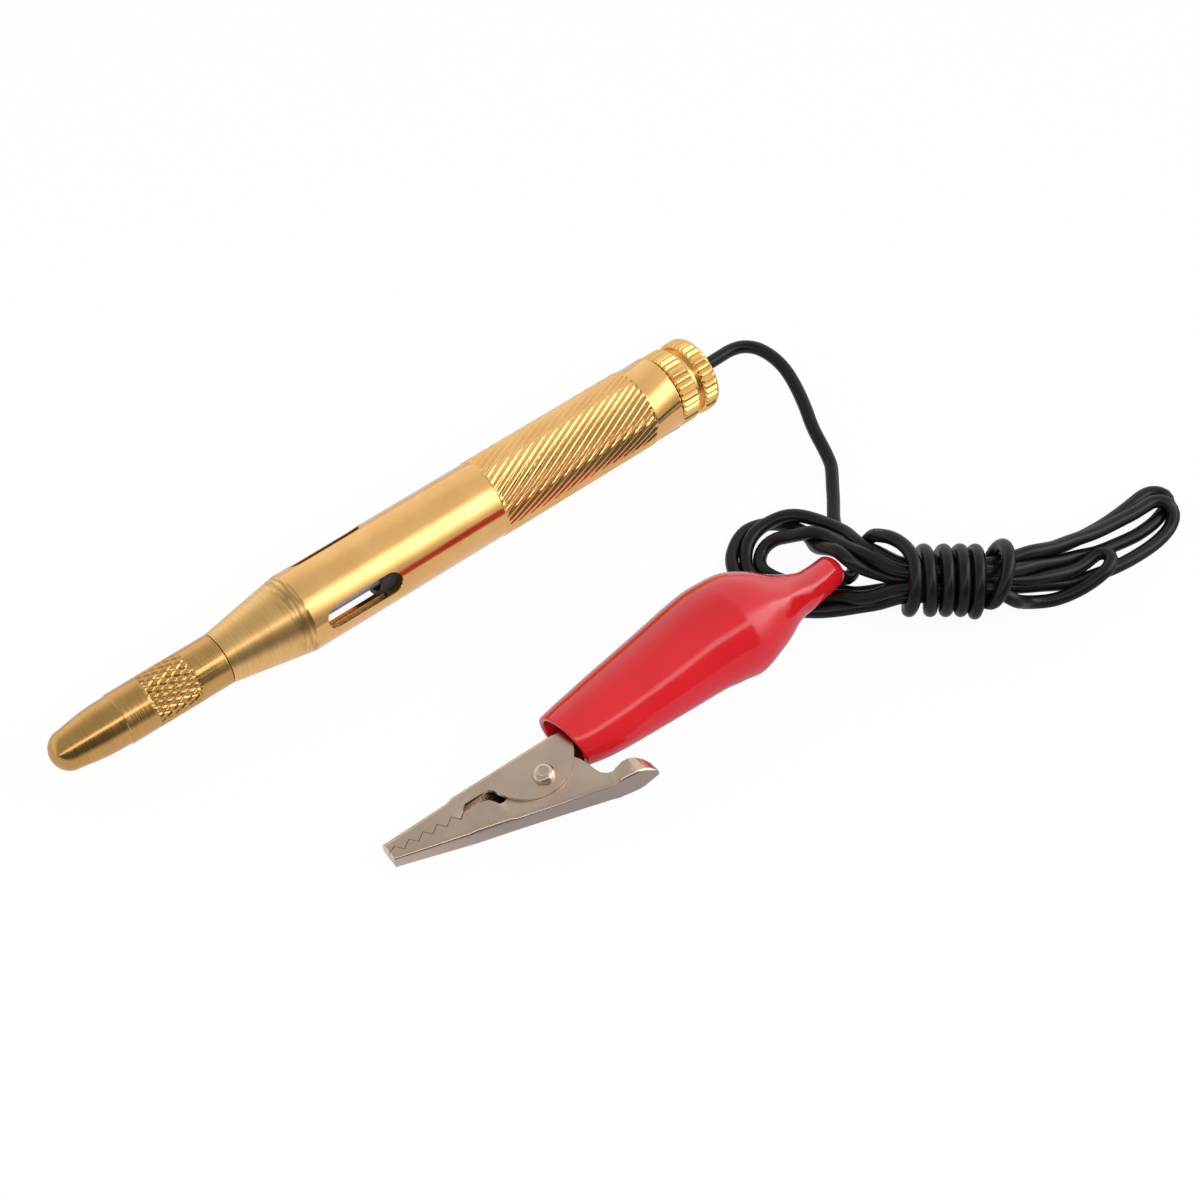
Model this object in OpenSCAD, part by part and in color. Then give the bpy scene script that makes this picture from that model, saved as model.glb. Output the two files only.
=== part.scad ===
// Pencil circuit tester: a brass barrel with a lamp behind three windows, a needle probe under
// a screw-on tip cap, and a limp lead that ends in a crocodile clip with a soft boot.
// The tester lies along X, tip towards -X, and rests on the plane z = 0. Its middle is at x = 0.

/* [Barrel] */
// Outside diameter of the barrel
barrel_d = 12; // [11.6:0.1:13]
// Length of the barrel from the tip cap's seam to the end cap
barrel_length = 78.2; // [76:0.2:90]
// Thickness of the barrel's wall round the lamp
barrel_wall = 1.4; // [1.2:0.1:1.5]
// Length of the nose cone
nose_length = 12.5; // [10:0.5:14]
// Diameter of the threaded spigot that the tip cap screws on
spigot_d = 5; // [4.6:0.1:5.4]
// Length of that spigot
spigot_length = 6; // [4:0.5:9]
// Where the knurled grip starts, measured from the seam
grip_start = 45.3; // [40:0.1:50]
// Length of the knurled grip
grip_length = 27.9; // [20:0.1:30]
// How far the grip stands above the plain barrel
grip_rise = 0.1; // [0.05:0.05:0.2]

/* [Windows] */
// Width of each lamp window
window_w = 3.5; // [2.6:0.1:4]
// Length of each lamp window, round ends included
window_length = 12.4; // [8:0.1:13]
// Distance from the nose shoulder to the windows
window_offset = 2.1; // [2:0.1:4]
// How far the windows are turned from straight down, in degrees
window_turn = 12.5; // [0:0.5:30]

/* [Tip cap] */
// Length of the tip cap
tip_cap_length = 26.6; // [25:0.1:30]
// Diameter of the tip cap, and of the nose where they meet
tip_cap_d = 7.7; // [7.4:0.1:8.6]
// Length of the tip cap's straight part
tip_cap_straight = 16.1; // [13:0.1:17]
// Diameter of the tip cap where its domed end starts
tip_dome_d = 5.9; // [5.4:0.1:6.4]

/* [Probe] */
// Diameter of the needle probe
needle_d = 2.2; // [1.8:0.1:2.4]
// How far the needle reaches past the seam
needle_reach = 22; // [18:0.5:22.5]
// Diameter of the needle's contact head
needle_head_d = 6.4; // [5.8:0.1:7]

/* [Lamp] */
// Diameter of the lamp's glass
lamp_d = 5.4; // [5:0.1:5.8]
// Length of the lamp over its two metal caps
lamp_length = 19.4; // [17:0.2:21]
// Thickness of the lamp's glass
glass_wall = 0.4; // [0.3:0.05:0.5]
// Thickness of the lamp caps' skirt
lamp_skirt = 0.25; // [0.2:0.05:0.3]

/* [Rear contacts] */
// Wall of the insulating sleeve
sleeve_wall = 1.1; // [0.8:0.1:1.3]
// Wire diameter of the contact spring
contact_wire_d = 0.6; // [0.4:0.1:0.8]
// Number of turns of the contact spring
contact_turns = 9; // [7:1:11]

/* [End cap] */
// Diameter over the end cap's knurled rings
end_cap_d = 11.75; // [11.2:0.05:12]
// Length of the end cap outside the barrel
end_cap_length = 7.5; // [6.8:0.1:9]
// Width of the wide knurled ring
ring_w = 3.1; // [2.8:0.1:3.4]
// Width of the groove between the knurled rings
ring_groove = 1.1; // [0.8:0.1:1.2]
// Number of serrations round each ring
serrations = 42; // [32:1:48]
// Length of the spigot that screws into the barrel
end_spigot_length = 6; // [4:0.5:7]

/* [Lead] */
// Outside diameter of the lead
lead_d = 2; // [1.8:0.1:2.2]
// Diameter of its bundle of copper strands
core_d = 1; // [0.8:0.1:1.2]

/* [Clip] */
// Thickness of the clip's sheet metal
sheet = 0.5; // [0.4:0.05:0.6]
// Distance from the rivet to the clip's nose
jaw_reach = 22.5; // [22:0.1:25]
// Width of the clip across its outer plates
clip_w = 4.5; // [4.3:0.1:5.2]
// Width of the clip's nose
nose_w = 2.3; // [2:0.1:2.6]
// Number of teeth on each jaw
tooth_count = 5; // [4:1:5]
// Distance between teeth
tooth_pitch = 2.05; // [1.9:0.05:2.1]
// Height of the teeth from root to point
tooth_height = 1; // [0.6:0.1:1.2]
// Diameter of the rivet's shank
rivet_d = 2.2; // [1.8:0.1:2.4]
// Diameter of the rivet's heads
rivet_head_d = 3.2; // [2.8:0.1:3.6]
// Wire diameter of the clip's spring
clip_wire_d = 0.6; // [0.4:0.05:0.6]
// Width of the thumb tab
tab_w = 4.8; // [4.4:0.1:5.4]
// Length of the upper jaw's tail inside the boot
tail_length = 17; // [15:0.5:20]

/* [Boot] */
// Length of the boot from its mouth to the end of its sleeve
boot_length = 47.5; // [46:0.5:52]
// Width of the boot at its shoulder
boot_w = 15.1; // [14.5:0.1:16]
// Height of the boot at its shoulder
boot_h = 14.2; // [13.6:0.1:15]
// Thickness of the boot's skin
boot_wall = 0.8; // [0.6:0.1:1]

/* [Clearances] */
// Gap between threads, on the radius
thread_gap = 0.05; // [0.02:0.01:0.1]
// Gap left at the tip cap's seam and between the closed jaws
seam_gap = 0.1; // [0.05:0.01:0.15]
// Least gap round the lamp's rear cap in the sleeve, on the radius
lamp_gap = 0.2; // [0.1:0.05:0.3]
// Gap round the lead in the holes that it passes, on the radius
lead_gap = 0.1; // [0.05:0.01:0.15]
// Gap beside the lower jaw's plates and round the rivet
pivot_gap = 0.05; // [0.02:0.01:0.08]
// Space left round the boot where the wound lead lies under and over it
boot_space = 0.3; // [0.1:0.1:0.5]

/* [Hidden] */
$fn = 64;
eps = 0.01;

// Stations along the tester, measured from the seam between tip cap and barrel
overall_length = tip_cap_length + barrel_length + end_cap_length;
seam_x = tip_cap_length - overall_length / 2;
axis_z = barrel_d / 2 + grip_rise;
bore_r = barrel_d / 2 - barrel_wall;
chamber_front = nose_length - 1.5;
head_thick = 1.4;
head_recess = 0.8;
window_start = nose_length + window_offset;
lamp_start = chamber_front + head_thick - head_recess;
lamp_cone = 1.6;
front_skirt = 1.7;
rear_skirt = 3;
lamp_cap_r = lamp_d / 2 + lamp_skirt;
lamp_end = lamp_start + lamp_length;
sleeve_start = window_start + window_length - 2.3;
washer_thick = 1.5;
end_spigot_start = barrel_length - end_spigot_length;
washer_start = end_spigot_start - washer_thick;
terminal_flange = 1.2;
terminal_end = washer_start;
terminal_start = terminal_end - terminal_flange;
terminal_nose = 3;
sleeve_r = bore_r - thread_gap;
sleeve_bore_r = sleeve_r - sleeve_wall;
cup_start = lamp_end - head_recess;
cup_length = 2.2;
cup_gap = 0.15;
tip_wall = 1.2;
tip_point = 0.4;
serration_depth = 0.35;

// Stations and heights of the clip, measured from the rivet's axis: x towards the boot,
// y towards the upper jaw's back, z across the clip
bite_y = 0.21;
bite_slope = -0.158;
upper_y = 4.7;
upper_slope = -0.03;
knee_x = -12.4;
knee_y = -1.01;
front_slope = -0.353;
rear_slope = -0.317;
first_tooth = 1.2;
tooth_lean = 0.8;
joggle_start = -12.6;
joggle_end = -11.6;
lobe_r = 6.5;
lobe_x = -0.3;
lobe_y = 3.84;
ear_r = 3.4;
neck_x = 6.6;
neck_y = -7.03;
tab_end = 12.7;
tab_drop = -0.2;
plate_w = clip_w - 2 * sheet - 2 * pivot_gap;
recess_w = plate_w - 0.6;
joggle_w = 3.3;
tail_w = 3.5;
tail_x = 7;
crimp_length = 4;
crimp_r = lead_d / 2 + sheet;
head_height = 0.8;
coil_r = 1.75;

// How the clip and its boot lie: on the nose and on the boot's shoulder
boot_x = 5.7;
boot_y = 3.65;
shoulder = 27;
clip_x = -6.38;
clip_y = -42.73;
clip_yaw = -3;
clip_tilt = asin((boot_h - nose_w) / 2 / (boot_x + shoulder + jaw_reach));
clip_z = nose_w / 2 + jaw_reach * sin(clip_tilt);
lead_y = upper_y + upper_slope * (tail_x + tail_length) - sheet - lead_d / 2;

// The lead's route: out of the end cap, down to the table and into the wound hank
exit_x = overall_length / 2;
run_route = [[seam_x + terminal_end, 0, axis_z], [exit_x, 0, axis_z], [exit_x + 7, 0, axis_z],
             [65.2, -0.9, 6.2], [66.4, -2.6, 6.2], [67.1, -4.9, 5.9], [67.3, -7.5, 5.3],
             [66.6, -11, 4.5], [65.4, -14.5, 3.7], [64.1, -17.6, 3], [63.2, -20.9, 2.2],
             [62.1, -24, 1.6], [60.2, -26.4, 1.2], [58, -29.1, 1], [56.1, -31.2, 1],
             [54.4, -34.5, 1], [54.2, -38.2, 1]];

// The hank: its wound waist and the loops at either end, as centre lines with a half width
// and a height
waist_line = [[53, -48.7], [65.2, -57]];
waist_half = 5.4;
waist_h = 10.8;
left_line = [[44.6, -33.8], [49.8, -43]];
left_half = 7.4;
left_h = 8.8;
right_line = [[67.9, -57.8], [92.6, -60.6]];
right_half = 5;
right_h = 7;

function unit(v) = v / norm(v);
function along(path, i) = unit(path[min(i + 1, len(path) - 1)] - path[max(i - 1, 0)]);
// One ring of points round a path, with a half width to the side and a half height upwards
function ring(path, i, half, sides) =
    let(t = along(path, i), side = unit(cross(t, [0, 0, 1])), up = cross(side, t))
    [for (k = [0 : sides - 1])
        path[i] + half.x * cos(360 * k / sides) * side + half.y * sin(360 * k / sides) * up];
// The pair of triangles on each side of the wall between neighbouring rings
function wall_faces(rings, sides) =
    [for (i = [0 : rings - 2], k = [0 : sides - 1])
        let(a = i * sides + k, b = i * sides + (k + 1) % sides)
        each [[a, a + sides, b + sides], [a, b + sides, b]]];

// A solid round bar along a path
module bar(path, r, sides) {
    count = len(path);
    polyhedron(
        points = [for (i = [0 : count - 1]) each ring(path, i, [r, r], sides)],
        faces = concat(wall_faces(count, sides), [[for (k = [0 : sides - 1]) k]],
                       [[for (k = [sides - 1 : -1 : 0]) (count - 1) * sides + k]]));
}

// A shape turned about the tester's axis, from points of radius and station
module turned(points) {
    translate([seam_x, 0, axis_z])
        rotate([0, 90, 0])
            rotate_extrude()
                polygon(points);
}

module turned_hole(r, start, end) {
    translate([seam_x + start, 0, axis_z])
        rotate([0, 90, 0])
            cylinder(r = r, h = end - start);
}

module slot(length, width) {
    straight = length - width;
    square([straight, width], center = true);
    for (s = [-1, 1])
        translate([s * straight / 2, 0])
            circle(d = width);
}

module windows() {
    for (turn = [0, 120, 240])
        translate([seam_x + window_start + window_length / 2, 0, axis_z])
            rotate([turn + window_turn, 0, 0])
                translate([0, 0, -barrel_d])
                    linear_extrude(height = barrel_d)
                        slot(window_length, window_w);
}

module barrel() {
    grip_r = barrel_d / 2 + grip_rise;
    grip_end = grip_start + grip_length;
    color("goldenrod")
    difference() {
        union() {
            turned([[0, -spigot_length], [spigot_d / 2 - 0.4, -spigot_length],
                    [spigot_d / 2, -spigot_length + 0.4], [spigot_d / 2, 0], [tip_cap_d / 2, 0],
                    [barrel_d / 2, nose_length], [barrel_d / 2, grip_start - grip_rise],
                    [grip_r, grip_start], [grip_r, grip_end], [barrel_d / 2, grip_end + grip_rise],
                    [barrel_d / 2, barrel_length], [0, barrel_length]]);
        }
        turned_hole(needle_d / 2, -spigot_length - 1, chamber_front + eps);
        turned_hole(bore_r, chamber_front, barrel_length + 1);
        windows();
    }
}

// The domed end's profile as an arc of points, from its edge to the point
function dome(r, base, height) =
    [for (a = [0 : 15 : 90]) [r * cos(a), base - height * sin(a)]];

module tip_cap() {
    step = 0.12;
    dome_start = -tip_cap_length + tip_dome_d * 0.47;
    straight_end = -tip_cap_straight;
    bulge_r = (tip_cap_d + tip_dome_d) / 4 + 0.14;
    cavity_r = needle_d / 2 + 0.4;
    color("darkgoldenrod")
    difference() {
        turned(concat([[0, -seam_gap], [tip_cap_d / 2, -seam_gap], [tip_cap_d / 2, straight_end],
                       [tip_cap_d / 2 - step, straight_end - step],
                       [bulge_r, (straight_end + dome_start) / 2]],
                      dome(tip_dome_d / 2, dome_start, tip_dome_d * 0.47)));
        turned_hole(spigot_d / 2 + thread_gap, -spigot_length - 0.5, 0);
        turned([[0, -needle_reach - 1.2], [cavity_r * 0.4, -needle_reach - 1.2],
                [cavity_r, -needle_reach + 2], [cavity_r, 0], [0, 0]]);
    }
}

module needle() {
    r = needle_d / 2;
    point = 6;
    color("lightgray")
    turned([[0, -needle_reach], [tip_point / 2, -needle_reach], [r, -needle_reach + point],
            [r, chamber_front], [needle_head_d / 2, chamber_front],
            [needle_head_d / 2, chamber_front + head_thick],
            [needle_head_d / 2 - 0.6, chamber_front + head_thick],
            [1.1, chamber_front + head_thick - head_recess],
            [0, chamber_front + head_thick - head_recess]]);
}

// A lamp cap: cone, skirt and the seat for the glass. dir is 1 for the front cap, -1 for the rear
module lamp_cap(tip, dir, skirt) {
    solid_end = tip + dir * (lamp_cone + 0.2);
    edge = tip + dir * (lamp_cone + skirt);
    outline = [[0, tip], [0.9, tip], [lamp_cap_r, tip + dir * lamp_cone], [lamp_cap_r, edge],
               [lamp_d / 2, edge], [lamp_d / 2, solid_end], [0, solid_end]];
    turned(outline);
}

module lamp_front_cap() {
    color("silver") lamp_cap(lamp_start, 1, front_skirt);
}

module lamp_rear_cap() {
    color("silver") lamp_cap(lamp_end, -1, rear_skirt);
}

module lamp_glass() {
    front = lamp_start + lamp_cone + 0.2;
    rear = lamp_end - lamp_cone - 0.2;
    r = lamp_d / 2;
    color("lightgray", 0.5)
    difference() {
        turned([[0, front], [r, front], [r, rear], [0, rear]]);
        turned([[0, front + glass_wall], [r - glass_wall - 0.6, front + glass_wall],
                [r - glass_wall, front + glass_wall + 0.8], [r - glass_wall, rear - glass_wall - 0.8],
                [r - glass_wall - 0.6, rear - glass_wall], [0, rear - glass_wall]]);
    }
}

// The filament: two straight ends and a coil between them
module lamp_filament() {
    wire_r = 0.1;
    coil = 0.45;
    turns = 6;
    steps = 8;
    front = lamp_start + lamp_cone + 0.2 + glass_wall;
    rear = lamp_end - lamp_cone - 0.2 - glass_wall;
    coil_start = front + (rear - front) * 0.3;
    coil_step = (rear - front) * 0.4 / (turns * steps);
    path = concat([[seam_x + front, 0, axis_z]],
                  [for (i = [0 : turns * steps])
                      [seam_x + coil_start + i * coil_step, coil * cos(360 * i / steps),
                       axis_z + coil * sin(360 * i / steps)]],
                  [[seam_x + rear, 0, axis_z]]);
    color("dimgray") bar(path, wire_r, 4);
}

module insulating_sleeve() {
    color("black")
    difference() {
        turned([[0, sleeve_start], [sleeve_r, sleeve_start], [sleeve_r, washer_start],
                [0, washer_start]]);
        turned_hole(sleeve_bore_r, sleeve_start - 1, washer_start + 1);
        // the lamp's rear cap has room in a thin sleeve too
        turned_hole(lamp_cap_r + lamp_gap, sleeve_start - 1, lamp_end);
    }
}

module contact_cup() {
    r = sleeve_bore_r - cup_gap;
    color("gold")
    turned([[0, lamp_end], [1.1, lamp_end], [r - 0.7, cup_start], [r, cup_start],
            [r, cup_start + cup_length], [1.2, cup_start + cup_length],
            [1.2, cup_start + cup_length + 1], [0, cup_start + cup_length + 1]]);
}

// A compression spring with its axis along the tester
module contact_spring() {
    r = sleeve_bore_r - cup_gap - contact_wire_d / 2 - 0.1;
    steps = 10;
    start = cup_start + cup_length + contact_wire_d / 2;
    rise = terminal_start - contact_wire_d / 2 - start;
    count = contact_turns * steps;
    path = [for (i = [0 : count])
        [seam_x + start + rise * i / count, r * cos(360 * i / steps),
         axis_z + r * sin(360 * i / steps)]];
    color("silver") bar(path, contact_wire_d / 2, 5);
}

module lead_terminal() {
    r = sleeve_bore_r - cup_gap;
    color("gold")
    difference() {
        turned([[0, terminal_start - terminal_nose], [1.5, terminal_start - terminal_nose],
                [1.5, terminal_start], [r, terminal_start], [r, terminal_end], [0, terminal_end]]);
        turned_hole(core_d / 2, terminal_start - terminal_nose - 1, terminal_end + 1);
    }
}

module insulating_washer() {
    color("saddlebrown")
    difference() {
        turned([[0, washer_start], [sleeve_r, washer_start], [sleeve_r, end_spigot_start],
                [0, end_spigot_start]]);
        turned_hole(lead_d / 2 + lead_gap, washer_start - 1, end_spigot_start + 1);
    }
}

// A ring with straight serrations, whose crests are turned down to the cap's diameter
module serrated_ring(start, width, edge) {
    r = end_cap_d / 2;
    crest = 0.08;
    intersection() {
        translate([seam_x + start, 0, axis_z])
            rotate([0, 90, 0])
                linear_extrude(height = width)
                    polygon([for (i = [0 : 2 * serrations - 1])
                        let(a = 180 * i / serrations, d = crest - (i % 2) * serration_depth)
                        [(r + d) * cos(a), (r + d) * sin(a)]]);
        turned([[0, start], [r - edge, start], [r, start + edge], [r, start + width - edge],
                [r - edge, start + width], [0, start + width]]);
    }
}

module end_cap() {
    neck_r = end_cap_d / 2 - 1;
    neck = 0.3;
    ring_start = barrel_length + neck;
    second_start = ring_start + ring_w + ring_groove;
    end = barrel_length + end_cap_length;
    color("goldenrod")
    difference() {
        union() {
            turned([[0, end_spigot_start], [bore_r - thread_gap, end_spigot_start],
                    [bore_r - thread_gap, barrel_length], [neck_r, barrel_length],
                    [neck_r, end], [0, end]]);
            serrated_ring(ring_start, ring_w, 0.3);
            serrated_ring(second_start, end - second_start, 0.45);
        }
        turned_hole(lead_d / 2 + lead_gap, end_spigot_start - 1, end + 1);
    }
}

// A line's outline with round ends
module capsule(line, half) {
    d = line[1] - line[0];
    heading = atan2(d.y, d.x);
    polygon([for (end = [0, 1], a = [-90 : 10 : 90])
        line[1 - end] + half * [cos(heading + a + 180 * end), sin(heading + a + 180 * end)]]);
}

module lead_run() {
    color("dimgray") bar(run_route, lead_d / 2, 8);
}

// The wound lead's outer shape, open where the boot's neck lies among its loops
module lead_hank() {
    neck_half = 4.1;
    neck_start = boot_x + shoulder;
    neck_end = clip_end().x + sleeve_r_out * sin(boot_droop) + boot_space;
    color("dimgray")
    difference() {
        union() {
            linear_extrude(height = waist_h) capsule(waist_line, waist_half);
            linear_extrude(height = left_h) capsule(left_line, left_half);
            linear_extrude(height = right_h) capsule(right_line, right_half);
        }
        translate([clip_x, clip_y, -1])
            rotate(clip_yaw)
                translate([neck_start, boot_y - neck_half, 0])
                    cube([neck_end - neck_start, 2 * neck_half, waist_h + 2]);
    }
}

// The clip's own frame, laid on the table
module in_clip_frame() {
    translate([clip_x, clip_y, clip_z])
        rotate([0, -clip_tilt, clip_yaw])
            children();
}

// The boot's axis: straight to the shoulder, then an even bend down, then straight. It bows
// sideways as well, by these pairs of station and shift
boot_bow = [[0, 0], [6, 0.05], [12, 0.25], [18, 0.5], [24, 0.75], [28, 0.5], [32, 0.15], [36, -0.1],
            [40, -0.1], [44, 0.5], [47.5, 1.4], [50, 2.2]];
boot_droop = 19;
sleeve_r_out = 2.4;
bend_end = 40;
bend_r = (bend_end - shoulder) / (boot_droop * PI / 180);
function boot_axis(l) =
    let(a = min(max(l - shoulder, 0), bend_end - shoulder) / bend_r * 180 / PI,
        straight = min(l, shoulder), rest = max(l - bend_end, 0))
    [boot_x + straight + bend_r * sin(a) + rest * cos(a), boot_y + lookup(l, boot_bow),
     -bend_r * (1 - cos(a)) - rest * sin(a)];
// Half width and half height of the boot along its axis: station, width and height
half_w = boot_w / 2;
half_h = boot_h / 2;
boot_profile = [[0, 4.6, 4], [2, 5.05, 4.2], [6, 5.65, 4.7], [12, 6.25, 5.3],
                [18, 6.8, 5.95], [23, half_w * 0.96, half_h * 0.93],
                [26, half_w, half_h * 0.985], [28.5, half_w, half_h],
                [30.5, half_w * 0.98, half_h * 0.97], [32.5, half_w * 0.89, half_h * 0.88],
                [34.5, 5.8, 5.2], [36.5, 4.55, 4.2], [38.5, 3.6, 3.45], [41, 2.95, 2.9],
                [boot_length, sleeve_r_out, sleeve_r_out]];
mouth_slant = 0.17;
boot_sides = 20;

function clip_end() = boot_axis(boot_length);
function boot_path() = [for (s = boot_profile) boot_axis(s[0])];
// The rings of its skin, inside or outside. The mouth is cut on a slant, so its rings lean, and
// the sleeve at the far end fits the lead
function boot_rings(inside) =
    let(path = boot_path(), lead_fit = lead_d / 2 + lead_gap)
    [for (i = [0 : len(path) - 1])
        let(h = !inside ? boot_profile[i] : i < len(path) - 2
                ? boot_profile[i] - [0, boot_wall, boot_wall] : [0, lead_fit, lead_fit],
            lean = i == 0 ? -mouth_slant : i == 1 ? -mouth_slant / 2 : 0)
        each [for (p = ring(path, i, [h[1], h[2]], boot_sides))
            [p.x + lean * (p.y - boot_y), p.y, p.z]]];

// The boot is one skin: its outside, then its inside back to the mouth, closed at both rims
module clip_boot() {
    count = len(boot_profile);
    outside = boot_rings(false);
    inside = boot_rings(true);
    turned_back = [for (i = [count - 1 : -1 : 0], k = [0 : boot_sides - 1])
        inside[i * boot_sides + k]];
    rings = 2 * count;
    closing = [for (k = [0 : boot_sides - 1])
        let(a = (rings - 1) * boot_sides + k, b = (rings - 1) * boot_sides + (k + 1) % boot_sides,
            c = (k + 1) % boot_sides)
        each [[a, k, c], [a, c, b]]];
    color("crimson")
    in_clip_frame()
        polyhedron(points = concat(outside, turned_back),
                   faces = concat(wall_faces(rings, boot_sides), closing));
}

function bite(x) = bite_y + bite_slope * x;
function upper_back(x) = upper_y + upper_slope * x;
function lower_back(x) = knee_y + (x - knee_x) * (x < knee_x ? front_slope : rear_slope);
function tab_back(x) = neck_y + tab_drop * (x - neck_x);
// The zigzag between the jaws, shifted up or down by half the gap
function teeth(shift) =
    [for (i = [0 : tooth_count - 1], s = [1, -1])
        let(x = -jaw_reach + first_tooth + i * tooth_pitch + (s < 0 ? tooth_lean : 0))
        [x, bite(x) + s * tooth_height / 2 + shift]];
function reversed(list) = [for (i = [len(list) - 1 : -1 : 0]) list[i]];

// Width of a jaw seen from its back: pairs of station and full width, mirrored about the middle.
// The inset one is the room between its plates, which an open end runs out of
module plan(stations, inset, open_end = false) {
    first = stations[0];
    last = len(stations) - 1;
    end = stations[last].x - (open_end ? -1 : inset);
    tip = [[first.x + inset, first.y / 2 - inset - 0.25],
           [first.x + inset + 0.25, first.y / 2 - inset]];
    side = [for (i = [1 : last]) if (i == last || stations[i].x < end)
        [i == last ? end : stations[i].x, max(stations[i].y / 2 - inset, 0.1)]];
    half = concat(tip, side);
    polygon(concat(half, [for (p = reversed(half)) [p.x, -p.y]]));
}

// A folded jaw: side plates and end walls cut to the side outline, and the strip of the back
module folded(stations, open_end = false) {
    intersection() {
        translate([0, 0, -clip_w])
            linear_extrude(height = 2 * clip_w)
                children(0);
        rotate([90, 0, 0])
            linear_extrude(height = 30, center = true)
                difference() {
                    plan(stations, 0);
                    plan(stations, sheet, open_end);
                }
    }
    intersection() {
        translate([0, 0, -clip_w])
            linear_extrude(height = 2 * clip_w)
                children(1);
        rotate([90, 0, 0])
            linear_extrude(height = 30, center = true)
                plan(stations, 0);
    }
}

module band(points, thick) {
    polygon(concat(points, [for (p = reversed(points)) [p.x, p.y + thick]]));
}

tail_end = tail_x + tail_length;
upper_plan = [[-jaw_reach, nose_w], [joggle_start, joggle_w], [joggle_end, clip_w], [6.2, clip_w],
              [tail_x + 2, tail_w], [tail_end, tail_w]];
lower_plan = [[-jaw_reach, nose_w], [joggle_start, joggle_w], [joggle_end, recess_w],
              [-7.2, recess_w], [-6.4, plate_w], [6.2, plate_w], [7, plate_w + 0.5],
              [7.8, tab_w], [10, tab_w], [11, tab_w - 0.7], [11.8, tab_w - 1.9],
              [12.4, tab_w - 3.1], [tab_end, tab_w - 4]];

module upper_side() {
    start = -jaw_reach;
    polygon(concat([[start, upper_back(start)], [start, bite(start) + seam_gap / 2]],
                   teeth(seam_gap / 2),
                   [[-11.5, 2.2], [-10.8, 2.95], [-7.2, 2.8], [-6.4, 2], [-4, 2],
                    [-4, upper_back(-4)]]));
    intersection() {
        translate([lobe_x, lobe_y])
            circle(r = lobe_r);
        polygon([[-6.6, -4], [8, -4], [8, upper_back(8)], [-6.6, upper_back(-6.6)]]);
    }
    polygon([[4, 1.7], [tail_end, 1.7], [tail_end, upper_back(tail_end)], [4, upper_back(4)]]);
}

module upper_strip() {
    band([[-jaw_reach, upper_back(-jaw_reach)], [tail_end, upper_back(tail_end)]], -sheet);
}

module crimp() {
    translate([tail_end - crimp_length, lead_y, 0])
        rotate([0, 90, 0])
            difference() {
                cylinder(r = crimp_r, h = crimp_length);
                translate([0, 0, -1])
                    cylinder(r = lead_d / 2, h = crimp_length + 2);
            }
}

module clip_upper_jaw() {
    color("lightgray")
    in_clip_frame()
        difference() {
            union() {
                folded(upper_plan, true) {
                    upper_side();
                    upper_strip();
                }
                crimp();
            }
            translate([0, 0, -clip_w])
                cylinder(d = rivet_d, h = 2 * clip_w);
        }
}

module lower_side() {
    start = -jaw_reach;
    polygon(concat([[start, lower_back(start)], [knee_x, knee_y], [neck_x, neck_y],
                    [tab_end, tab_back(tab_end)], [tab_end, -7.7], [12.5, -6.8], [11.85, -5.95],
                    [11, -5.4], [10.2, -5.1], [9.1, -5], [8.3, -5.2], [7.5, -5.35], [6.8, -4.9],
                    [6.2, -4.2], [5.9, -3.2], [5.7, -2.1], [5.35, -1], [4.9, -0.1]],
                   [for (a = [10 : 15 : 145]) ear_r * [cos(a), sin(a)]],
                   [[-3.6, 1], [-6.4, 0.2], [-7, 0.5], [-7.8, 1.6], [-9, 2.1], [-11.3, 2.2]],
                   reversed(teeth(-seam_gap / 2)),
                   [[start, bite(start) - seam_gap / 2]]));
}

module lower_strip() {
    band([[-jaw_reach, lower_back(-jaw_reach)], [knee_x, knee_y], [neck_x, neck_y],
          [tab_end, tab_back(tab_end)]], sheet);
}

module clip_lower_jaw() {
    color("lightgray")
    in_clip_frame()
        difference() {
            folded(lower_plan) {
                lower_side();
                lower_strip();
            }
            translate([0, 0, -clip_w])
                cylinder(d = rivet_d + 2 * pivot_gap, h = 2 * clip_w);
        }
}

module clip_rivet() {
    r = rivet_head_d / 2;
    top = clip_w / 2;
    color("gainsboro")
    in_clip_frame()
        rotate_extrude()
            polygon([[0, -top - head_height], [r * 0.55, -top - head_height],
                     [r * 0.88, -top - head_height * 0.7], [r, -top - head_height * 0.3], [r, -top],
                     [rivet_d / 2, -top], [rivet_d / 2, top], [r, top],
                     [r, top + head_height * 0.3], [r * 0.88, top + head_height * 0.7],
                     [r * 0.55, top + head_height], [0, top + head_height]]);
}

// A torsion spring round the rivet, with one leg against each jaw's back
module clip_spring() {
    steps = 16;
    turns = 2.5;
    count = turns * steps;
    half = plate_w / 2 - sheet - clip_wire_d / 2 - 0.05;
    coil = [for (i = [0 : count])
        let(a = 90 + 360 * i / steps)
        [coil_r * cos(a), coil_r * sin(a), half * (1 - 2 * i / count)]];
    rest_upper = [9, upper_back(9) - sheet - clip_wire_d / 2, half];
    rest_lower = [4.6, lower_back(4.6) + sheet + clip_wire_d / 2 + 0.1, -half];
    color("silver")
    in_clip_frame()
        bar(concat([rest_upper], coil, [rest_lower]), clip_wire_d / 2, 6);
}

// The bared strands: one end in the terminal, the other in the clip's crimped tail
module lead_core() {
    bare = 6;
    color("peru") {
        turned_hole(core_d / 2, terminal_start - terminal_nose, terminal_end);
        in_clip_frame()
            translate([tail_end - crimp_length - bare, lead_y, 0])
                rotate([0, 90, 0])
                    cylinder(d = core_d, h = bare);
    }
}

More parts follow.
